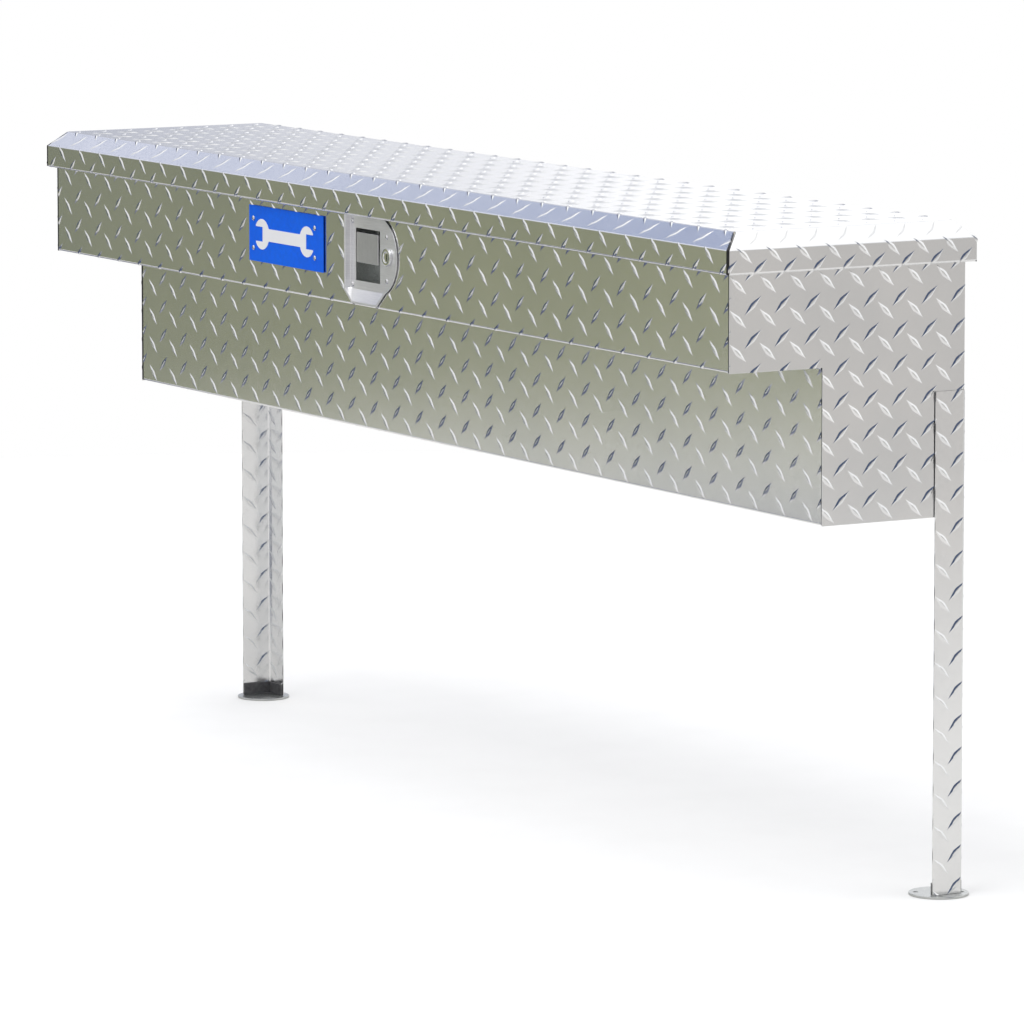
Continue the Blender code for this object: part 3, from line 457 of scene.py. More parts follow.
def lattice(uLow, uHigh, sLow, sHigh, uPitch, uPhase, sPhase, shift, flip=1):
    rowPitch = plateSize["pitchRow"]
    reach = plateSize["lugLength"] / 2
    found = []
    for half, sign, off in ((0.0, 1, 0.0), (0.5, -1, shift)):
        k = int((uLow - reach - uPhase) / uPitch) - 2
        while True:
            u = uPhase + (k + half) * uPitch
            k += 1
            if u > uHigh + reach:
                break
            if u < uLow - reach:
                continue
            r = int((sLow - reach - sPhase - off) / rowPitch) - 2
            while True:
                s = sPhase + off + r * rowPitch
                r += 1
                if s > sHigh + reach:
                    break
                if s >= sLow - reach:
                    found.append((u, s, sign * flip))
    return found


def trim(bm, *planes):                   # each plane is (point, outward normal); what is outside goes
    for point, normal in planes:
        bmesh.ops.bisect_plane(bm, geom=bm.verts[:] + bm.edges[:] + bm.faces[:], dist=1e-7,
                               plane_co=Vector(point), plane_no=Vector(normal), clear_outer=True)
    return bm


def insidePolygon(x, z, outline):
    inside = False
    for (ax, az), (bx, bz) in zip(outline, outline[1:] + outline[:1]):
        if (az > z) != (bz > z) and x < (bx - ax) * (z - az) / (bz - az) + ax:
            inside = not inside
    return inside


latchSize = {"left": -53 * mm, "arcX": 38 * mm, "arcZ": -50 * mm, "radius": 53 * mm, "rim": 2.6 * mm, "slope": 1.6 * mm,
             "sheet": 1 * mm, "scoopDrop": 16 * mm, "scoopLeft": 32 * mm, "scoopRight": 34 * mm,
             "scoopFloor": 41 * mm, "windowLeft": 35 * mm, "windowRight": 31 * mm, "windowTop": -18 * mm,
             "windowBottom": -88.5 * mm}


def dishOutline(inset, steps=18):        # (x, z) measured from the body's middle and the part's origin
    size = latchSize
    left = size["left"] + inset
    bottom = size["arcZ"] - size["radius"] + inset
    points = [(left, bottom), (-size["scoopLeft"] + inset / 2, bottom - size["scoopDrop"]),
              (size["scoopRight"] - inset / 2, bottom - size["scoopDrop"])]
    for i in range(steps + 1):
        turn = radians(-68 + 158 * i / steps)
        points.append((size["arcX"] + (size["radius"] - inset) * cos(turn),
                       size["arcZ"] + (size["radius"] - inset) * sin(turn)))
    points.append((left, size["arcZ"] + size["radius"] - inset))
    return [(x, z + lipZ) for x, z in points]


bodySize = {"rimWidth": 18 * mm, "lowRowPhase": 42.3 * mm, "columnPhase": 31.4 * mm, "seamGap": 2.4 * mm}


def makeBodySheet():
    y0, y1 = bodyFront + proud, bodyBack - proud
    zFloor, zShelf, zTop = bodyFloor + proud, shelfZ + proud, rimTop
    corners = [(y0 + bodySize["rimWidth"], zTop), (y0, zTop), (y0, zShelf), (shelfBack + proud, zShelf),
               (shelfBack + proud, zFloor), (y1, zFloor), (y1, zTop), (y1 - bodySize["rimWidth"], zTop)]
    fold = Fold(corners, plateSize["bendRadius"], -1)
    half = wrapHigh.x - bodySize["seamGap"]
    bm = bentSheet(fold, "X", -half, half, plateSize["sheet"] - proud)
    hole = prism(dishOutline(0.5 * mm), "Y", bodyFront - 5 * mm, bodyFront + 6 * mm)
    bm = cutAway(bm, hole)
    lugs = bmesh.new()
    rows = []
    for start, end, phase in ((fold.starts[1] + 22 * mm, fold.starts[3] - 17 * mm, fold.starts[2]),
                              (fold.starts[3] + 17 * mm, fold.starts[6] - 10 * mm,
                               fold.starts[3] + bodySize["lowRowPhase"])):
        rows += lattice(-half, half, start, end, plateSize["pitchX"], bodySize["columnPhase"], phase,
                        -plateSize["lugShift"], flip=-1)
    around = dishOutline(0.3 * mm)
    front = y0 + 2 * mm

    def place(u, s, h):
        p = fold.at(s, h)
        return (u, p.x, p.y)

    addLugs(lugs, rows, place, lambda co: co.y > front or not insidePolygon(co.x, co.z, around))
    trim(lugs, ((half, 0, 0), (1, 0, 0)), ((-half, 0, 0), (-1, 0, 0)))
    joinInto(bm, lugs)
    for sign in (-1, 1):                 # black strip at the bottom of the seam between sheet and end panel: painted shade in the seam gap
        ends = sorted((sign * (half - 1.5 * mm), sign * wrapHigh.x))
        for low, high in (((ends[0], y0 + 0.5 * mm, zShelf + 0.9 * mm), (ends[1], y0 + 1.2 * mm, zTop - 22 * mm)),
                          ((ends[0], shelfBack + 1.5 * mm, zFloor + 0.9 * mm),
                           (ends[1], shelfBack + 2.2 * mm, zShelf))):
            strip = boxMesh(low, high)
            for face in strip.faces:
                face.material_index = 1
            joinInto(bm, strip)
    return addPiece("bodySheet", bm, [treadPlate, rubberAndSeamShade], "box", ["body_wrap"])


def makeEndSheet(name, side):
    outer = side * (bodyHalf - proud)
    inner = side * (bodyHalf - plateSize["sheet"])
    y0, y1 = bodyFront + proud / 2, bodyBack - proud / 2
    zFloor, zTop = bodyFloor + proud / 2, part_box("end_panel_" + name)[1].z
    zShelf = shelfZ + proud / 2
    outline = [(y0, zTop), (y0, zShelf), (shelfBack, zShelf), (shelfBack, zFloor), (y1, zFloor), (y1, zTop)]
    bm = prism(outline, "X", min(inner, outer), max(inner, outer))
    edges = [e for e in bm.edges if all(abs(v.co.x - outer) < 1e-6 for v in e.verts)]
    bmesh.ops.bevel(bm, geom=edges, offset=0.4 * mm, offset_type="OFFSET", affect="EDGES", segments=2,
                    profile=0.5, material=-1)
    rim = boxMesh((min(side * (bodyHalf - bodySize["rimWidth"]), inner), y0 + bodySize["rimWidth"],
                   zTop - plateSize["sheet"]),
                  (max(side * (bodyHalf - bodySize["rimWidth"]), inner), y1 - bodySize["rimWidth"], zTop), 0.4 * mm)
    joinInto(bm, rim)
    lugs = bmesh.new()
    rows = lattice(y0, y1, zFloor, zTop - 22 * mm, plateSize["pitchEnd"], endSize["columnPhase"] + bodyFront,
                   endSize["rowPhase"] + lipZ, plateSize["lugShift"])
    addLugs(lugs, rows, lambda u, s, h: (outer + side * h, u, s))
    trim(lugs, ((0, y1, 0), (0, 1, 0)), ((0, y0, 0), (0, -1, 0)), ((0, 0, zFloor), (0, 0, -1)),
         ((0, 0, zTop), (0, 0, 1)))
    low = trim(lugs.copy(), ((0, shelfBack, 0), (0, -1, 0)))
    trim(lugs, ((0, 0, zShelf), (0, 0, -1)))
    trim(lugs, ((0, shelfBack, 0), (0, 1, 0)))
    joinInto(bm, lugs, low)
    return addPiece("endSheet" + name.capitalize(), bm, [treadPlate], "box", ["end_panel_" + name])


endSize = {"columnPhase": 34.5 * mm, "rowPhase": -39.3 * mm}
makeBodySheet()
for name, side in (("left", -1), ("right", 1)):
    makeEndSheet(name, side)
print("box body ready")


lidSize = {"lip": 30.6 * mm, "runFront": 22.8 * mm, "runEnd": 21.3 * mm, "runBack": 23.9 * mm, "lipReturn": 6 * mm,
           "mitreGap": 0.7 * mm, "backGap": 0.05 * mm, "rowPhase": 5.3 * mm, "columnPhase": 33.4 * mm,
           "lugShift": 17.5 * mm,
           "edgeGap": 10 * mm, "endPhase": 35.2 * mm, "endRow": 7.2 * mm}


def makeLidSheet():
    x1 = lidHigh.x - proud
    y0, y1 = lidLow.y + proud, lidHigh.y - proud
    z0, z2 = lidLow.z, lidHigh.z - proud
    z1 = z0 + lidSize["lip"]
    xTop = x1 - lidSize["runEnd"]
    yFront, yBack = y0 + lidSize["runFront"], y1 - lidSize["runBack"]
    sheet = plateSize["sheet"] - proud
    back = lidSize["lipReturn"]
    whole = bmesh.new()
    corners = {"front": ((xTop, yFront), (x1, y0)), "back": ((xTop, yBack), (x1, y1))}

    def mitres(edge):                    # planes through the slanted corner edges, as (point, outward normal)
        planes = []
        for sign in (-1, 1):
            for which in ("front", "back"):
                (ax, ay), (bx, by) = corners[which]
                direction = Vector((bx - ax, by - ay, 0)).normalized()
                normal = Vector((direction.y, -direction.x, 0))
                if edge in ("front", "back"):
                    if which != edge:
                        continue
                    outward = normal if normal.x > 0 else -normal
                else:
                    outward = normal if (normal.y > 0) == (which == "back") else -normal
                point = Vector((ax, ay, 0)) - outward * lidSize["mitreGap" if which == "front" else "backGap"]
                planes.append(((sign * point.x, point.y, 0), (sign * outward.x, outward.y, 0)))
        return planes

    inset = plateSize["bendRadius"] * tan(radians(22))
    profiles = {
        "front": [(y0 + back, z0), (y0, z0), (y0, z1), (yFront, z2), (yFront + inset, z2)],
        "back": [(y1, z0), (y1, z1), (yBack, z2), (yBack - inset, z2)],
        "end": [(x1 - back, z0), (x1, z0), (x1, z1), (xTop, z2), (xTop - inset, z2)]}
    folds = {
        "front": Fold(profiles["front"], plateSize["bendRadius"], 1),
        "back": Fold(profiles["back"], plateSize["bendRadius"], -1),
        "end": Fold(profiles["end"], plateSize["bendRadius"], -1)}
    for edge in ("front", "back"):
        flange = bentSheet(folds[edge], "X", -x1, x1, sheet)
        trim(flange, *mitres(edge))
        joinInto(whole, flange)
    for sign in (-1, 1):
        points = [Vector((sign * x, z)) for x, z in profiles["end"]]
        fold = Fold(points, plateSize["bendRadius"], -1 * sign)
        flange = bentSheet(fold, "Y", y0, y1, sheet)
        outward = [m for m in mitres("end") if m[0][0] * sign > 0]
        trim(flange, *outward)
        joinInto(whole, flange)
    top = boxMesh((-xTop + inset, yFront + inset, z2 - sheet), (xTop - inset, yBack - inset, z2))
    joinInto(whole, top)

    unrolled = {}                        # folds that run on over the top, for lugs that cross a bend
    unrolled["front"] = Fold([(y0 + back, z0), (y0, z0), (y0, z1), (yFront, z2), (yBack, z2)],
                             plateSize["bendRadius"], 1)
    unrolled["back"] = Fold([(y1 - back, z0), (y1, z0), (y1, z1), (yBack, z2), (yFront, z2)],
                            plateSize["bendRadius"], -1)
    ends = {sign: Fold([(sign * (x1 - back), z0), (sign * x1, z0), (sign * x1, z1), (sign * xTop, z2), (0, z2)],
                       plateSize["bendRadius"], -sign) for sign in (-1, 1)}
    front = unrolled["front"]
    topStart = front.starts[3]
    rows = lattice(-x1, x1, back, topStart * 2 + yBack - yFront - back, plateSize["pitchX"], lidSize["columnPhase"],
                   back + lidSize["rowPhase"], lidSize["lugShift"])

    def onX(fold):
        def place(u, s, h):
            p = fold.at(s, h)
            return (u, p.x, p.y)
        return place

    def onY(fold):
        def place(u, s, h):
            p = fold.at(s, h)
            return (p.x, u, p.y)
        return place

    span = yBack - yFront
    backFold = unrolled["back"]
    backTop = backFold.starts[3]
    edgeGap = lidSize["edgeGap"]

    def overBack(u, s, h):
        p = backFold.at(backTop + span - (s - topStart), h)
        return (u, p.x, p.y)

    def overEnd(fold, sign):
        def place(u, s, h):
            p = fold.at(fold.starts[3] + xTop - sign * u, h)
            return (p.x, yFront + s - topStart, p.y)
        return place

    frontLugs, backLugs, topLugs = bmesh.new(), bmesh.new(), bmesh.new()
    for row in rows:                     # one lattice runs from lip to lip, over the top
        u, s, sign = row
        if s < topStart:
            addLugs(frontLugs, [row], onX(front))
        elif s > topStart + span:
            addLugs(backLugs, [row], overBack)
        elif abs(u) < xTop - edgeGap:
            nearEnd = abs(u) > xTop - plateSize["lugLength"] / 2
            route = onX(front) if s < topStart + span / 2 else overBack
            addLugs(topLugs, [row], overEnd(ends[1 if u > 0 else -1], 1 if u > 0 else -1) if nearEnd else route)
    trim(frontLugs, *mitres("front"))
    trim(backLugs, *mitres("back"))
    joinInto(whole, frontLugs, backLugs, topLugs)

    for sign in (-1, 1):                 # end bevels and lips
        endFold = ends[sign]
        rows = lattice(y0, y1, back, endFold.starts[3], plateSize["pitchEnd"],
                       lidSize["endPhase"] + bodyFront, back + lidSize["endRow"], lidSize["lugShift"])
        lugs = bmesh.new()
        addLugs(lugs, [r for r in rows if r[1] < endFold.starts[3] - edgeGap], onY(endFold))
        trim(lugs, *[m for m in mitres("end") if m[0][0] * sign > 0])
        joinInto(whole, lugs)
    for signX in (-1, 1):                # black strip under the open mitres: painted shade in the mitre gap
        for which in ("front",):
            (ax, ay), (bx, by) = corners[which]
            away = Vector((ax - bx, ay - by, 0)).normalized() * (sheet + 0.1 * mm)
            foot = Vector((bx, by, z0 + 1 * mm)) + away
            path = [foot, Vector((foot.x, foot.y, z1)), Vector((ax, ay, z2 - sheet)) + away * 0.5]
            wide = Vector((-away.y, away.x, 0)).normalized() * 2 * mm
            strip = bmesh.new()
            left = [strip.verts.new((signX * (p + wide).x, (p + wide).y, p.z)) for p in path]
            right = [strip.verts.new((signX * (p - wide).x, (p - wide).y, p.z)) for p in path]
            for i in range(2):
                strip.faces.new((left[i], left[i + 1], right[i + 1], right[i]))
            bmesh.ops.solidify(strip, geom=strip.faces[:], thickness=0.2 * mm)
            bmesh.ops.recalc_face_normals(strip, faces=strip.faces)
            for face in strip.faces:
                face.material_index = 1
            joinInto(whole, strip)
    return addPiece("lidSheet", whole, [treadPlate, rubberAndSeamShade], "lid", ["lid_skin"])


makeLidSheet()
print("lid ready")


legSize = {"bendRadius": 4 * mm, "footHoles": 4, "footHoleRadius": 3.5 * mm, "holeCircle": 29 * mm,
           "holeTurn": 60.0, "footRadius": 38 * mm}


def makeLeg(name, side):                 # the right leg shows its pattern outside, the left one inside
    low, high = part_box("leg_" + name)
    inset = proud if side > 0 else plateSize["sheet"] - proud
    outer = (high.x if side > 0 else low.x) - side * inset
    inner = low.x if side > 0 else high.x
    back = high.y - inset
    fold = Fold([(outer, low.y), (outer, back), (inner, back)], legSize["bendRadius"], -1)
    bm = bentSheet(fold, "Z", low.z, high.z, plateSize["sheet"] - proud)
    lugs = bmesh.new()
    rows = lattice(0, fold.starts[2], low.z, high.z, plateSize["pitchEnd"],
                   endSize["columnPhase"] + bodyFront - low.y, endSize["rowPhase"] + lipZ, plateSize["lugShift"])

    def place(u, s, h):
        p = fold.at(max(0.0, min(u, fold.starts[2])), h)
        return (p.x, p.y, s)

    addLugs(lugs, rows, place)
    trim(lugs, ((0, 0, high.z), (0, 0, 1)), ((0, 0, low.z), (0, 0, -1)))
    joinInto(bm, lugs)
    return addPiece("leg" + name.capitalize(), bm, [treadPlate], "box", ["leg_" + name])


def makeFoot(name):
    low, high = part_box("foot_plate_" + name)
    centre = (low + high) / 2
    radius = legSize["footRadius"]
    thick = high.z - low.z
    edge = 0.7 * mm
    profile = ((0, 0), (radius - edge, 0), (radius - edge * 0.3, edge * 0.3), (radius, edge), (radius, thick - edge),
               (radius - edge * 0.3, thick - edge * 0.3), (radius - edge, thick), (0, thick))
    bm = lathe(profile, (centre.x, centre.y, low.z), (0, 0, 1), 64)
    holes = []
    for i in range(legSize["footHoles"]):
        turn = radians(legSize["holeTurn"]) + i * pi / 2
        sign = 1 if name == "right" else -1
        reach = legSize["holeCircle"]
        at = (centre.x + sign * reach * cos(turn), centre.y + reach * sin(turn), low.z - thick)
        r = legSize["footHoleRadius"]
        holes.append(lathe(((0, 0), (r, 0), (r, thick * 3), (0, thick * 3)), at, (0, 0, 1), 20))
    bm = cutAway(bm, *holes)
    return addPiece("foot" + name.capitalize(), bm, [zincSteel], "box", ["foot_plate_" + name])


for name, side in (("left", -1), ("right", 1)):
    makeLeg(name, side)
    makeFoot(name)
print("legs ready")


lockSize = {"hole": 9.75 * mm, "bezel": 12 * mm, "barrel": 9.5 * mm, "keyWide": 2.2 * mm, "keyHigh": 9 * mm}


def makeDish():
    size = latchSize
    front = dishLow.y
    floorY = dishHigh.y - size["sheet"]
    bm = bmesh.new()
    outline = dishOutline(0)
    rim = [bm.verts.new((x, front, z)) for x, z in outline]
    shoulder = [bm.verts.new((x, front, z)) for x, z in dishOutline(size["rim"])]
    low = size["arcZ"] - size["radius"] + size["rim"] + lipZ
    deep = dishOutline(size["rim"] + size["slope"])
    deep[1] = (-size["scoopFloor"], low)
    deep[2] = (size["scoopFloor"], low)
    base = [bm.verts.new((x, floorY, z)) for x, z in deep]
    count = len(rim)
    for ring, other in ((rim, shoulder), (shoulder, base)):
        for i in range(count):
            j = (i + 1) % count
            bm.faces.new((ring[i], ring[j], other[j], other[i]))
    bm.faces.new(base)
    bmesh.ops.recalc_face_normals(bm, faces=bm.faces)
    bm.faces.ensure_lookup_table()
    if bm.faces[0].normal.y > 0:
        bmesh.ops.reverse_faces(bm, faces=bm.faces[:])
    lips = [e for e in bm.edges if len(e.link_faces) == 2 and
            abs(e.verts[0].co.y - e.verts[1].co.y) < 1e-6]
    bmesh.ops.bevel(bm, geom=lips, offset=0.8 * mm, offset_type="OFFSET", affect="EDGES", segments=3,
                    profile=0.5, material=-1)
    bmesh.ops.solidify(bm, geom=bm.faces[:], thickness=size["sheet"])
    bmesh.ops.recalc_face_normals(bm, faces=bm.faces)
    window = boxMesh((-size["windowLeft"], dishLow.y - 5 * mm, size["windowBottom"] + lipZ),
                     (size["windowRight"], dishHigh.y + 5 * mm, size["windowTop"] + lipZ))
    lock = pivots["lock_turn"]
    bore, reach = lockSize["hole"], 30 * mm
    hole = lathe(((0, 0), (bore, 0), (bore, reach), (0, reach)), (lock.x, front - 5 * mm, lock.z), (0, 1, 0), 40)
    bm = cutAway(bm, window, hole)
    return addPiece("latchPan", bm, [stainless], "box", ["latch_dish"])


def makePaddle():
    low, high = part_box("latch_paddle")
    thick = 2 * mm
    bm = boxMesh((low.x, low.y, low.z), (high.x, low.y + thick, high.z), 0.7 * mm, 3)
    pin = pivots["paddle_hinge"]
    for x in (low.x + 4 * mm, high.x - 7 * mm):
        outline = [(low.y + thick / 2, pin.z + 3 * mm), (low.y + thick / 2, pin.z - 12 * mm)]
        for i in range(13):
            turn = radians(-60 + 150 * i / 12)
            outline.append((pin.y + 4.5 * mm * cos(turn), pin.z + 4.5 * mm * sin(turn)))
        joinInto(bm, prism(outline, "X", x, x + 3 * mm))
    lever = [(low.y + thick / 2, pin.z + 3 * mm), (low.y + thick / 2, pin.z - 12 * mm),
             (pivots["pawl_pivot"].y - 3.5 * mm, pin.z - 9.5 * mm)]
    for i in range(9):
        turn = radians(-10 + 100 * i / 8)
        lever.append((pin.y + 4.5 * mm * cos(turn), pin.z + 4.5 * mm * sin(turn)))
    joinInto(bm, prism(lever, "X", -4 * mm, 4 * mm))
    return addPiece("latchPaddle", bm, [paddleSteel], "paddle", ["latch_paddle"])


def makeLock():
    low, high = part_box("lock_barrel")
    lock = pivots["lock_turn"]
    r, b = lockSize["bezel"], lockSize["barrel"]
    depth = high.y - low.y
    profile = ((0, 1.2 * mm), (6.6 * mm, 1.2 * mm), (7.2 * mm, 0.9 * mm), (7.4 * mm, 0.3 * mm), (8.2 * mm, 0),
               (r - 1.4 * mm, 0),
               (r - 0.5 * mm, 0.3 * mm), (r, 1.1 * mm), (r, 3 * mm), (b, 3 * mm), (b, depth), (0, depth))
    bm = lathe(profile, (lock.x, low.y, lock.z), (0, 1, 0), 64)
    wide, tall = lockSize["keyWide"] / 2, lockSize["keyHigh"] / 2
    key = boxMesh((lock.x - wide, low.y - 2 * mm, lock.z - tall), (lock.x + wide, low.y + 12 * mm, lock.z + tall))
    bm = cutAway(bm, key)
    return addPiece("lockBarrel", bm, [polished], "lock", ["lock_barrel"])


def makeRivet(node):
    low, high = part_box(node)
    x, z = (low.x + high.x) / 2, (low.z + high.z) / 2
    r = 3.4 * mm
    depth = high.y - low.y
    profile = ((0, 1.6 * mm), (0.9 * mm, 1.5 * mm), (1.0 * mm, 0.15 * mm), (1.7 * mm, 0.0), (2.6 * mm, 0.3 * mm),
               (r, 1.1 * mm),
               (r, 1.3 * mm), (1.9 * mm, 1.3 * mm), (1.9 * mm, depth - 1.8 * mm), (2.9 * mm, depth - 1.5 * mm),
               (2.6 * mm, depth - 0.3 * mm), (0, depth))
    bm = lathe(profile, (x, low.y, z), (0, 1, 0), 24)
    label = node.replace("_", " ").title().replace(" ", "")
    return addPiece(label, bm, [polished], "box", [node])


makeDish()
makePaddle()
makeLock()
for number in range(1, 5):
    makeRivet("latch_rivet_" + str(number))
    makeRivet("plate_rivet_" + str(number))
print("latch ready")


markSize = {"rise": 0.35 * mm, "length": 128 * mm, "head": 21 * mm, "offset": -4 * mm, "jaw": 34.0,
            "shoulder": 0.42, "mouth": 0.48}


def makePlate():
    low, high = plateLow, plateHigh
    front = low.y + markSize["rise"]
    bm = boxMesh((low.x, front, low.z), (high.x, high.y, high.z), 0.5 * mm, 2)
    for face in bm.faces:
        face.material_index = 0
    middleX, middleZ = (low.x + high.x) / 2 + markSize["offset"], (low.z + high.z) / 2
    half = markSize["length"] / 2
    head = markSize["head"]
    heads = []                            # a plain open-ended spanner lying across the plate
    for sign in (1, -1):
        cx = middleX + sign * half
        gap = radians(markSize["jaw"])
        ring = [(gap + (pi - markSize["shoulder"] - gap) * i / 8) for i in range(9)]
        upper = [(cx + sign * head * cos(a), middleZ + head * sin(a)) for a in ring]
        lower = [(cx + sign * head * cos(a), middleZ - head * sin(a)) for a in ring]
        mouth = head * markSize["mouth"]
        outer, inner = cx + sign * head * 0.95 * cos(gap), cx - sign * head * 0.1
        slot = [(outer, middleZ - mouth), (inner, middleZ - mouth), (inner, middleZ + mouth), (outer, middleZ + mouth)]
        heads.append(lower[::-1] + slot + upper)
    mark = prism(heads[0] + heads[1][::-1], "Y", front - markSize["rise"], front + 0.2 * mm)
    for face in mark.faces:
        face.material_index = 1
    joinInto(bm, mark)
    return addPiece("namePlate", bm, [plateBlue, plateMark], "box", ["name_plate"])


makePlate()
print("name plate ready")


finishes = {"stainless": stainless, "zinc": zincSteel, "black": blackSteel, "rubber": rubberAndSeamShade, "foam": foam,
            "mill": millAluminium, "polished": polished}
nodeLooks = {"latch_case": "zinc", "latch_pawl": "zinc", "paddle_pin": "polished", "pawl_pin": "polished",
             "lock_cam": "zinc", "hinge_body_leaf": "stainless", "hinge_lid_leaf": "stainless",
             "hinge_pin": "stainless",
             "weather_seal": "rubber", "lid_liner": "mill", "lid_foam_core": "foam", "lid_striker": "zinc",
             "foot_bracket_left": "black", "foot_bracket_right": "black", "strut_tube_left": "black",
             "strut_tube_right": "black", "strut_rod_left": "polished", "strut_rod_right": "polished",
             "strut_stud_left": "zinc", "strut_stud_right": "zinc", "strut_bracket_left": "zinc",
             "strut_bracket_right": "zinc"}
for name, node in frame["nodes"].items():
    look = nodeLooks.get(name, "zinc" if name.startswith(("leg_bolt", "leg_nut")) else None)
    if look:
        node.data.materials.clear()
        node.data.materials.append(finishes[look])
print("carried-over nodes ready")


# mirroredTone and the dark slate spots colour the floor only for reflected rays: painted reflections for the metal; the
# camera sees the floor plain pale
stageSize = {"floorRadius": 3.8, "mirroredTone": (0.72, 0.71, 0.69), "paintedReflectionSlate": (0.09, 0.105, 0.16),
             "paintedReflectionSpots": ((-0.9, -1.11, 1.6, 0.74), (-2.6, -0.05, 1.1, 0.5)), "floorZ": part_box("foot_plate_left")[0].z}


def makeFloor():
    bm = bmesh.new()
    bmesh.ops.create_circle(bm, cap_ends=True, segments=96, radius=stageSize["floorRadius"])
    bmesh.ops.translate(bm, verts=bm.verts, vec=(0, 0, stageSize["floorZ"]))
    mesh = bpy.data.meshes.new("floor")
    bm.to_mesh(mesh)
    bm.free()
    floor = bpy.data.objects.new("floor", mesh)
    bpy.context.collection.objects.link(floor)
    material, tree, shader = startMaterial("floorPaper", 0.0)
    grain = addNode(tree, "ShaderNodeGroup", node_tree=grainGroup)
    grain.inputs["Scale"].default_value = 300.0
    grain.inputs["Strength"].default_value = 0.05
    tone = mixColour(tree, setRange(tree, grain.outputs["Cloud"], 0, 1), (0.93, 0.93, 0.93), (0.95, 0.95, 0.95))
    tree.links.new(tone, shader.inputs["Base Color"])
    shader.inputs["Roughness"].default_value = 0.9
    tree.links.new(grain.outputs["Normal"], shader.inputs["Normal"])
    place = addNode(tree, "ShaderNodeTexCoord")
    # to reflected rays the floor is darker grey with dark slate spots: painted reflections
    tone = stageSize["mirroredTone"]
    for x, y, wide, deep in stageSize["paintedReflectionSpots"]:
        patch = addNode(tree, "ShaderNodeMapping", {"Location": (-x / wide, -y / deep, 0.0),
                                                    "Scale": (1 / wide, 1 / deep, 0.0)})
        away = addNode(tree, "ShaderNodeVectorMath", operation="LENGTH")
        near = addNode(tree, "ShaderNodeMapRange", {"From Min": 1.15, "From Max": 0.6}, interpolation_type="SMOOTHSTEP")
        tree.links.new(place.outputs["Object"], patch.inputs["Vector"])
        tree.links.new(patch.outputs["Vector"], away.inputs[0])
        tree.links.new(away.outputs["Value"], near.inputs["Value"])
        tone = mixColour(tree, near.outputs["Result"], tone, stageSize["paintedReflectionSlate"])
    shade = addNode(tree, "ShaderNodeBsdfDiffuse")
    tree.links.new(tone, shade.inputs["Color"])
    path = addNode(tree, "ShaderNodeLightPath")
    mix = addNode(tree, "ShaderNodeMixShader")
    tree.links.new(path.outputs["Is Camera Ray"], mix.inputs["Fac"])
    tree.links.new(shade.outputs["BSDF"], mix.inputs[1])
    tree.links.new(shader.outputs["BSDF"], mix.inputs[2])
    tree.links.new(mix.outputs["Shader"], tree.nodes["Material Output"].inputs["Surface"])
    mesh.materials.append(material)


worldTones = {"base": (0.66, 0.66, 0.67), "zenith": (1.3, 1.3, 1.3), "low": (0.46, 0.46, 0.43),
              "lobes": (((-0.86, -0.50, -0.10), 0.80, 0.955, (0.295, 0.308, 0.192)),   # direction, edge, core, colour
                        ((-0.88, -0.10, 0.42), 0.90, 0.97, (1.0, 1.02, 1.14)),
                        ((-0.78, -0.10, 0.62), 0.974, 0.997, (0.22, 0.29, 0.50)),
                        ((-0.86, 0.50, 0.14), 0.85, 0.95, (0.50, 0.52, 0.60)),
                        ((-0.70, 0.70, 0.12), 0.945, 0.985, (1.4, 1.4, 1.4)),
                        ((0.86, 0.50, -0.10), 0.80, 0.95, (0.60, 0.58, 0.56)),
                        ((-1.0, -0.06, 0.02), 0.90, 0.97, (0.06, 0.08, 0.15)),
                        ((0.93, 0.10, 0.28), 0.90, 0.97, (0.07, 0.10, 0.18)),
                        ((-0.56, -0.80, 0.16), 0.93, 0.98, (0.95, 0.95, 0.97)),
                        ((0.52, 0.82, 0.20), 0.93, 0.98, (1.1, 1.1, 1.1)))}


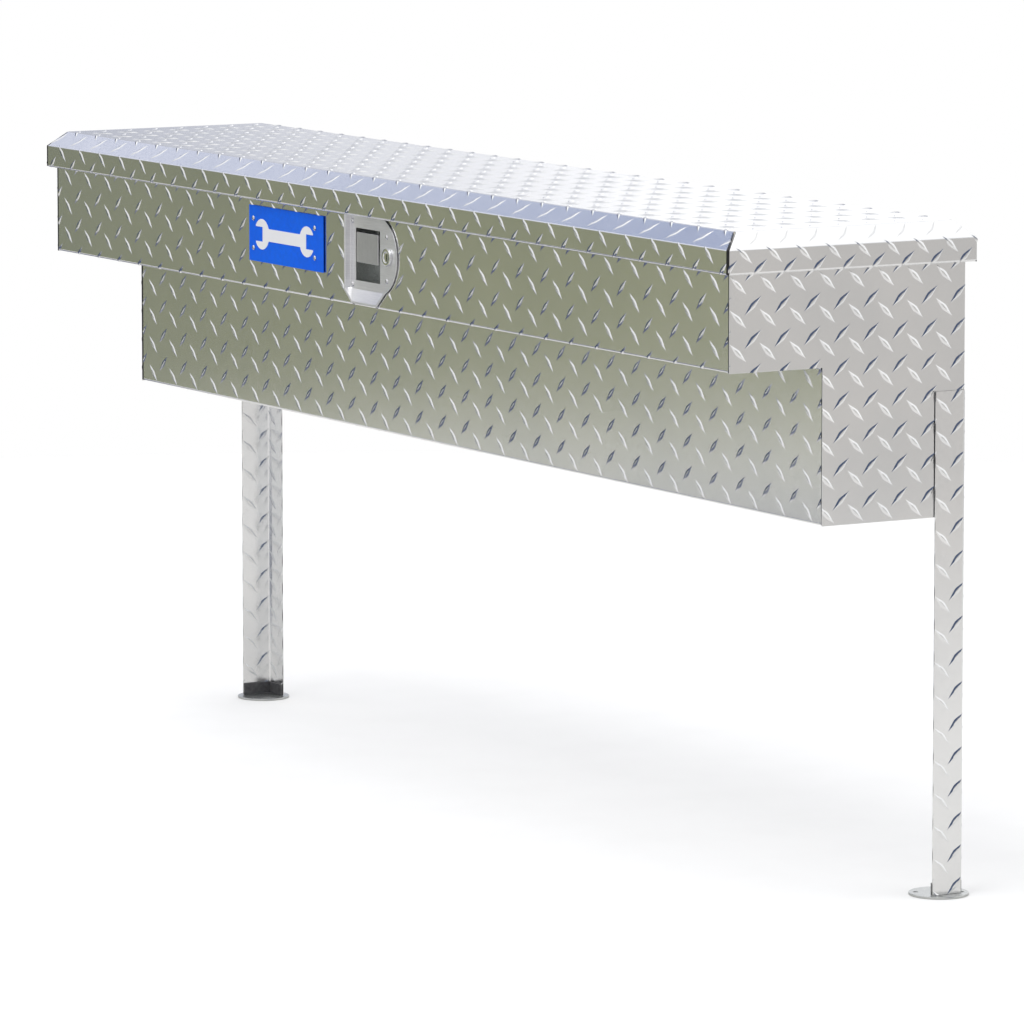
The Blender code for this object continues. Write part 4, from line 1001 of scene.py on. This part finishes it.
def makeWorld():
    world = bpy.data.worlds.new("studio")
    bpy.context.scene.world = world
    world.use_nodes = True
    tree = world.node_tree
    tree.nodes.clear()
    link = tree.links.new
    place = addNode(tree, "ShaderNodeTexCoord")
    split = addNode(tree, "ShaderNodeSeparateXYZ")
    link(place.outputs["Generated"], split.inputs["Vector"])
    up = addNode(tree, "ShaderNodeMapRange", {"From Min": 0.1, "From Max": 0.95}, interpolation_type="SMOOTHSTEP")
    link(split.outputs["Z"], up.inputs["Value"])
    tone = mixColour(tree, up.outputs["Result"], worldTones["base"], worldTones["zenith"])
    down = addNode(tree, "ShaderNodeMapRange", {"From Min": 0.02, "From Max": -0.3}, interpolation_type="SMOOTHSTEP")
    link(split.outputs["Z"], down.inputs["Value"])
    tone = mixColour(tree, down.outputs["Result"], tone, worldTones["low"])
    for direction, near, far, colour in worldTones["lobes"]:
        dot = addNode(tree, "ShaderNodeVectorMath", operation="DOT_PRODUCT")
        link(place.outputs["Generated"], dot.inputs[0])
        dot.inputs[1].default_value = Vector(direction).normalized()
        mask = addNode(tree, "ShaderNodeMapRange", {"From Min": near, "From Max": far}, interpolation_type="SMOOTHSTEP")
        link(dot.outputs["Value"], mask.inputs["Value"])
        tone = mixColour(tree, mask.outputs["Result"], tone, colour)
    seen = addNode(tree, "ShaderNodeBackground", {"Color": (1, 1, 1, 1), "Strength": 1.0})
    lit = addNode(tree, "ShaderNodeBackground", {"Strength": 1.0})
    link(tone, lit.inputs["Color"])
    path = addNode(tree, "ShaderNodeLightPath")
    mix = addNode(tree, "ShaderNodeMixShader")
    out = addNode(tree, "ShaderNodeOutputWorld")
    link(path.outputs["Is Camera Ray"], mix.inputs["Fac"])
    link(lit.outputs["Background"], mix.inputs[1])
    link(seen.outputs["Background"], mix.inputs[2])
    link(mix.outputs["Shader"], out.inputs["Surface"])


lightSize = {"key": ((0.5, -1.5, 3.6), (0, 0, 0), 3.0, 60.0)}


def makeLights():
    for name, (spot, aim, size, power) in lightSize.items():
        data = bpy.data.lights.new(name, "AREA")
        data.shape = "DISK"
        data.size = size
        data.energy = power
        light = bpy.data.objects.new(name, data)
        bpy.context.collection.objects.link(light)
        light.location = spot
        light.rotation_euler = (Vector(aim) - Vector(spot)).to_track_quat("-Z", "Y").to_euler()


cameraSize = {"azimuth": 59.638, "elevation": 6.962, "distance": 9.2482, "lens": 240.45, "target": (0, 0.1796, -0.178),
              "shift": (-0.01241, -0.0811)}


def makeCamera():
    azimuth, elevation = radians(cameraSize["azimuth"]), radians(cameraSize["elevation"])
    back = Vector((sin(azimuth) * cos(elevation), -cos(azimuth) * cos(elevation), sin(elevation)))
    data = bpy.data.cameras.new("camera")
    data.sensor_width = 36
    data.lens = cameraSize["lens"]
    data.shift_x, data.shift_y = cameraSize["shift"]
    data.clip_end = 100
    camera = bpy.data.objects.new("camera", data)
    bpy.context.collection.objects.link(camera)
    camera.location = Vector(cameraSize["target"]) + back * cameraSize["distance"]
    camera.rotation_euler = (-back).to_track_quat("-Z", "Y").to_euler()
    bpy.context.scene.camera = camera


makeFloor()
makeWorld()
makeLights()
makeCamera()
bpy.context.scene.view_settings.view_transform = "Standard"
print("stage ready")
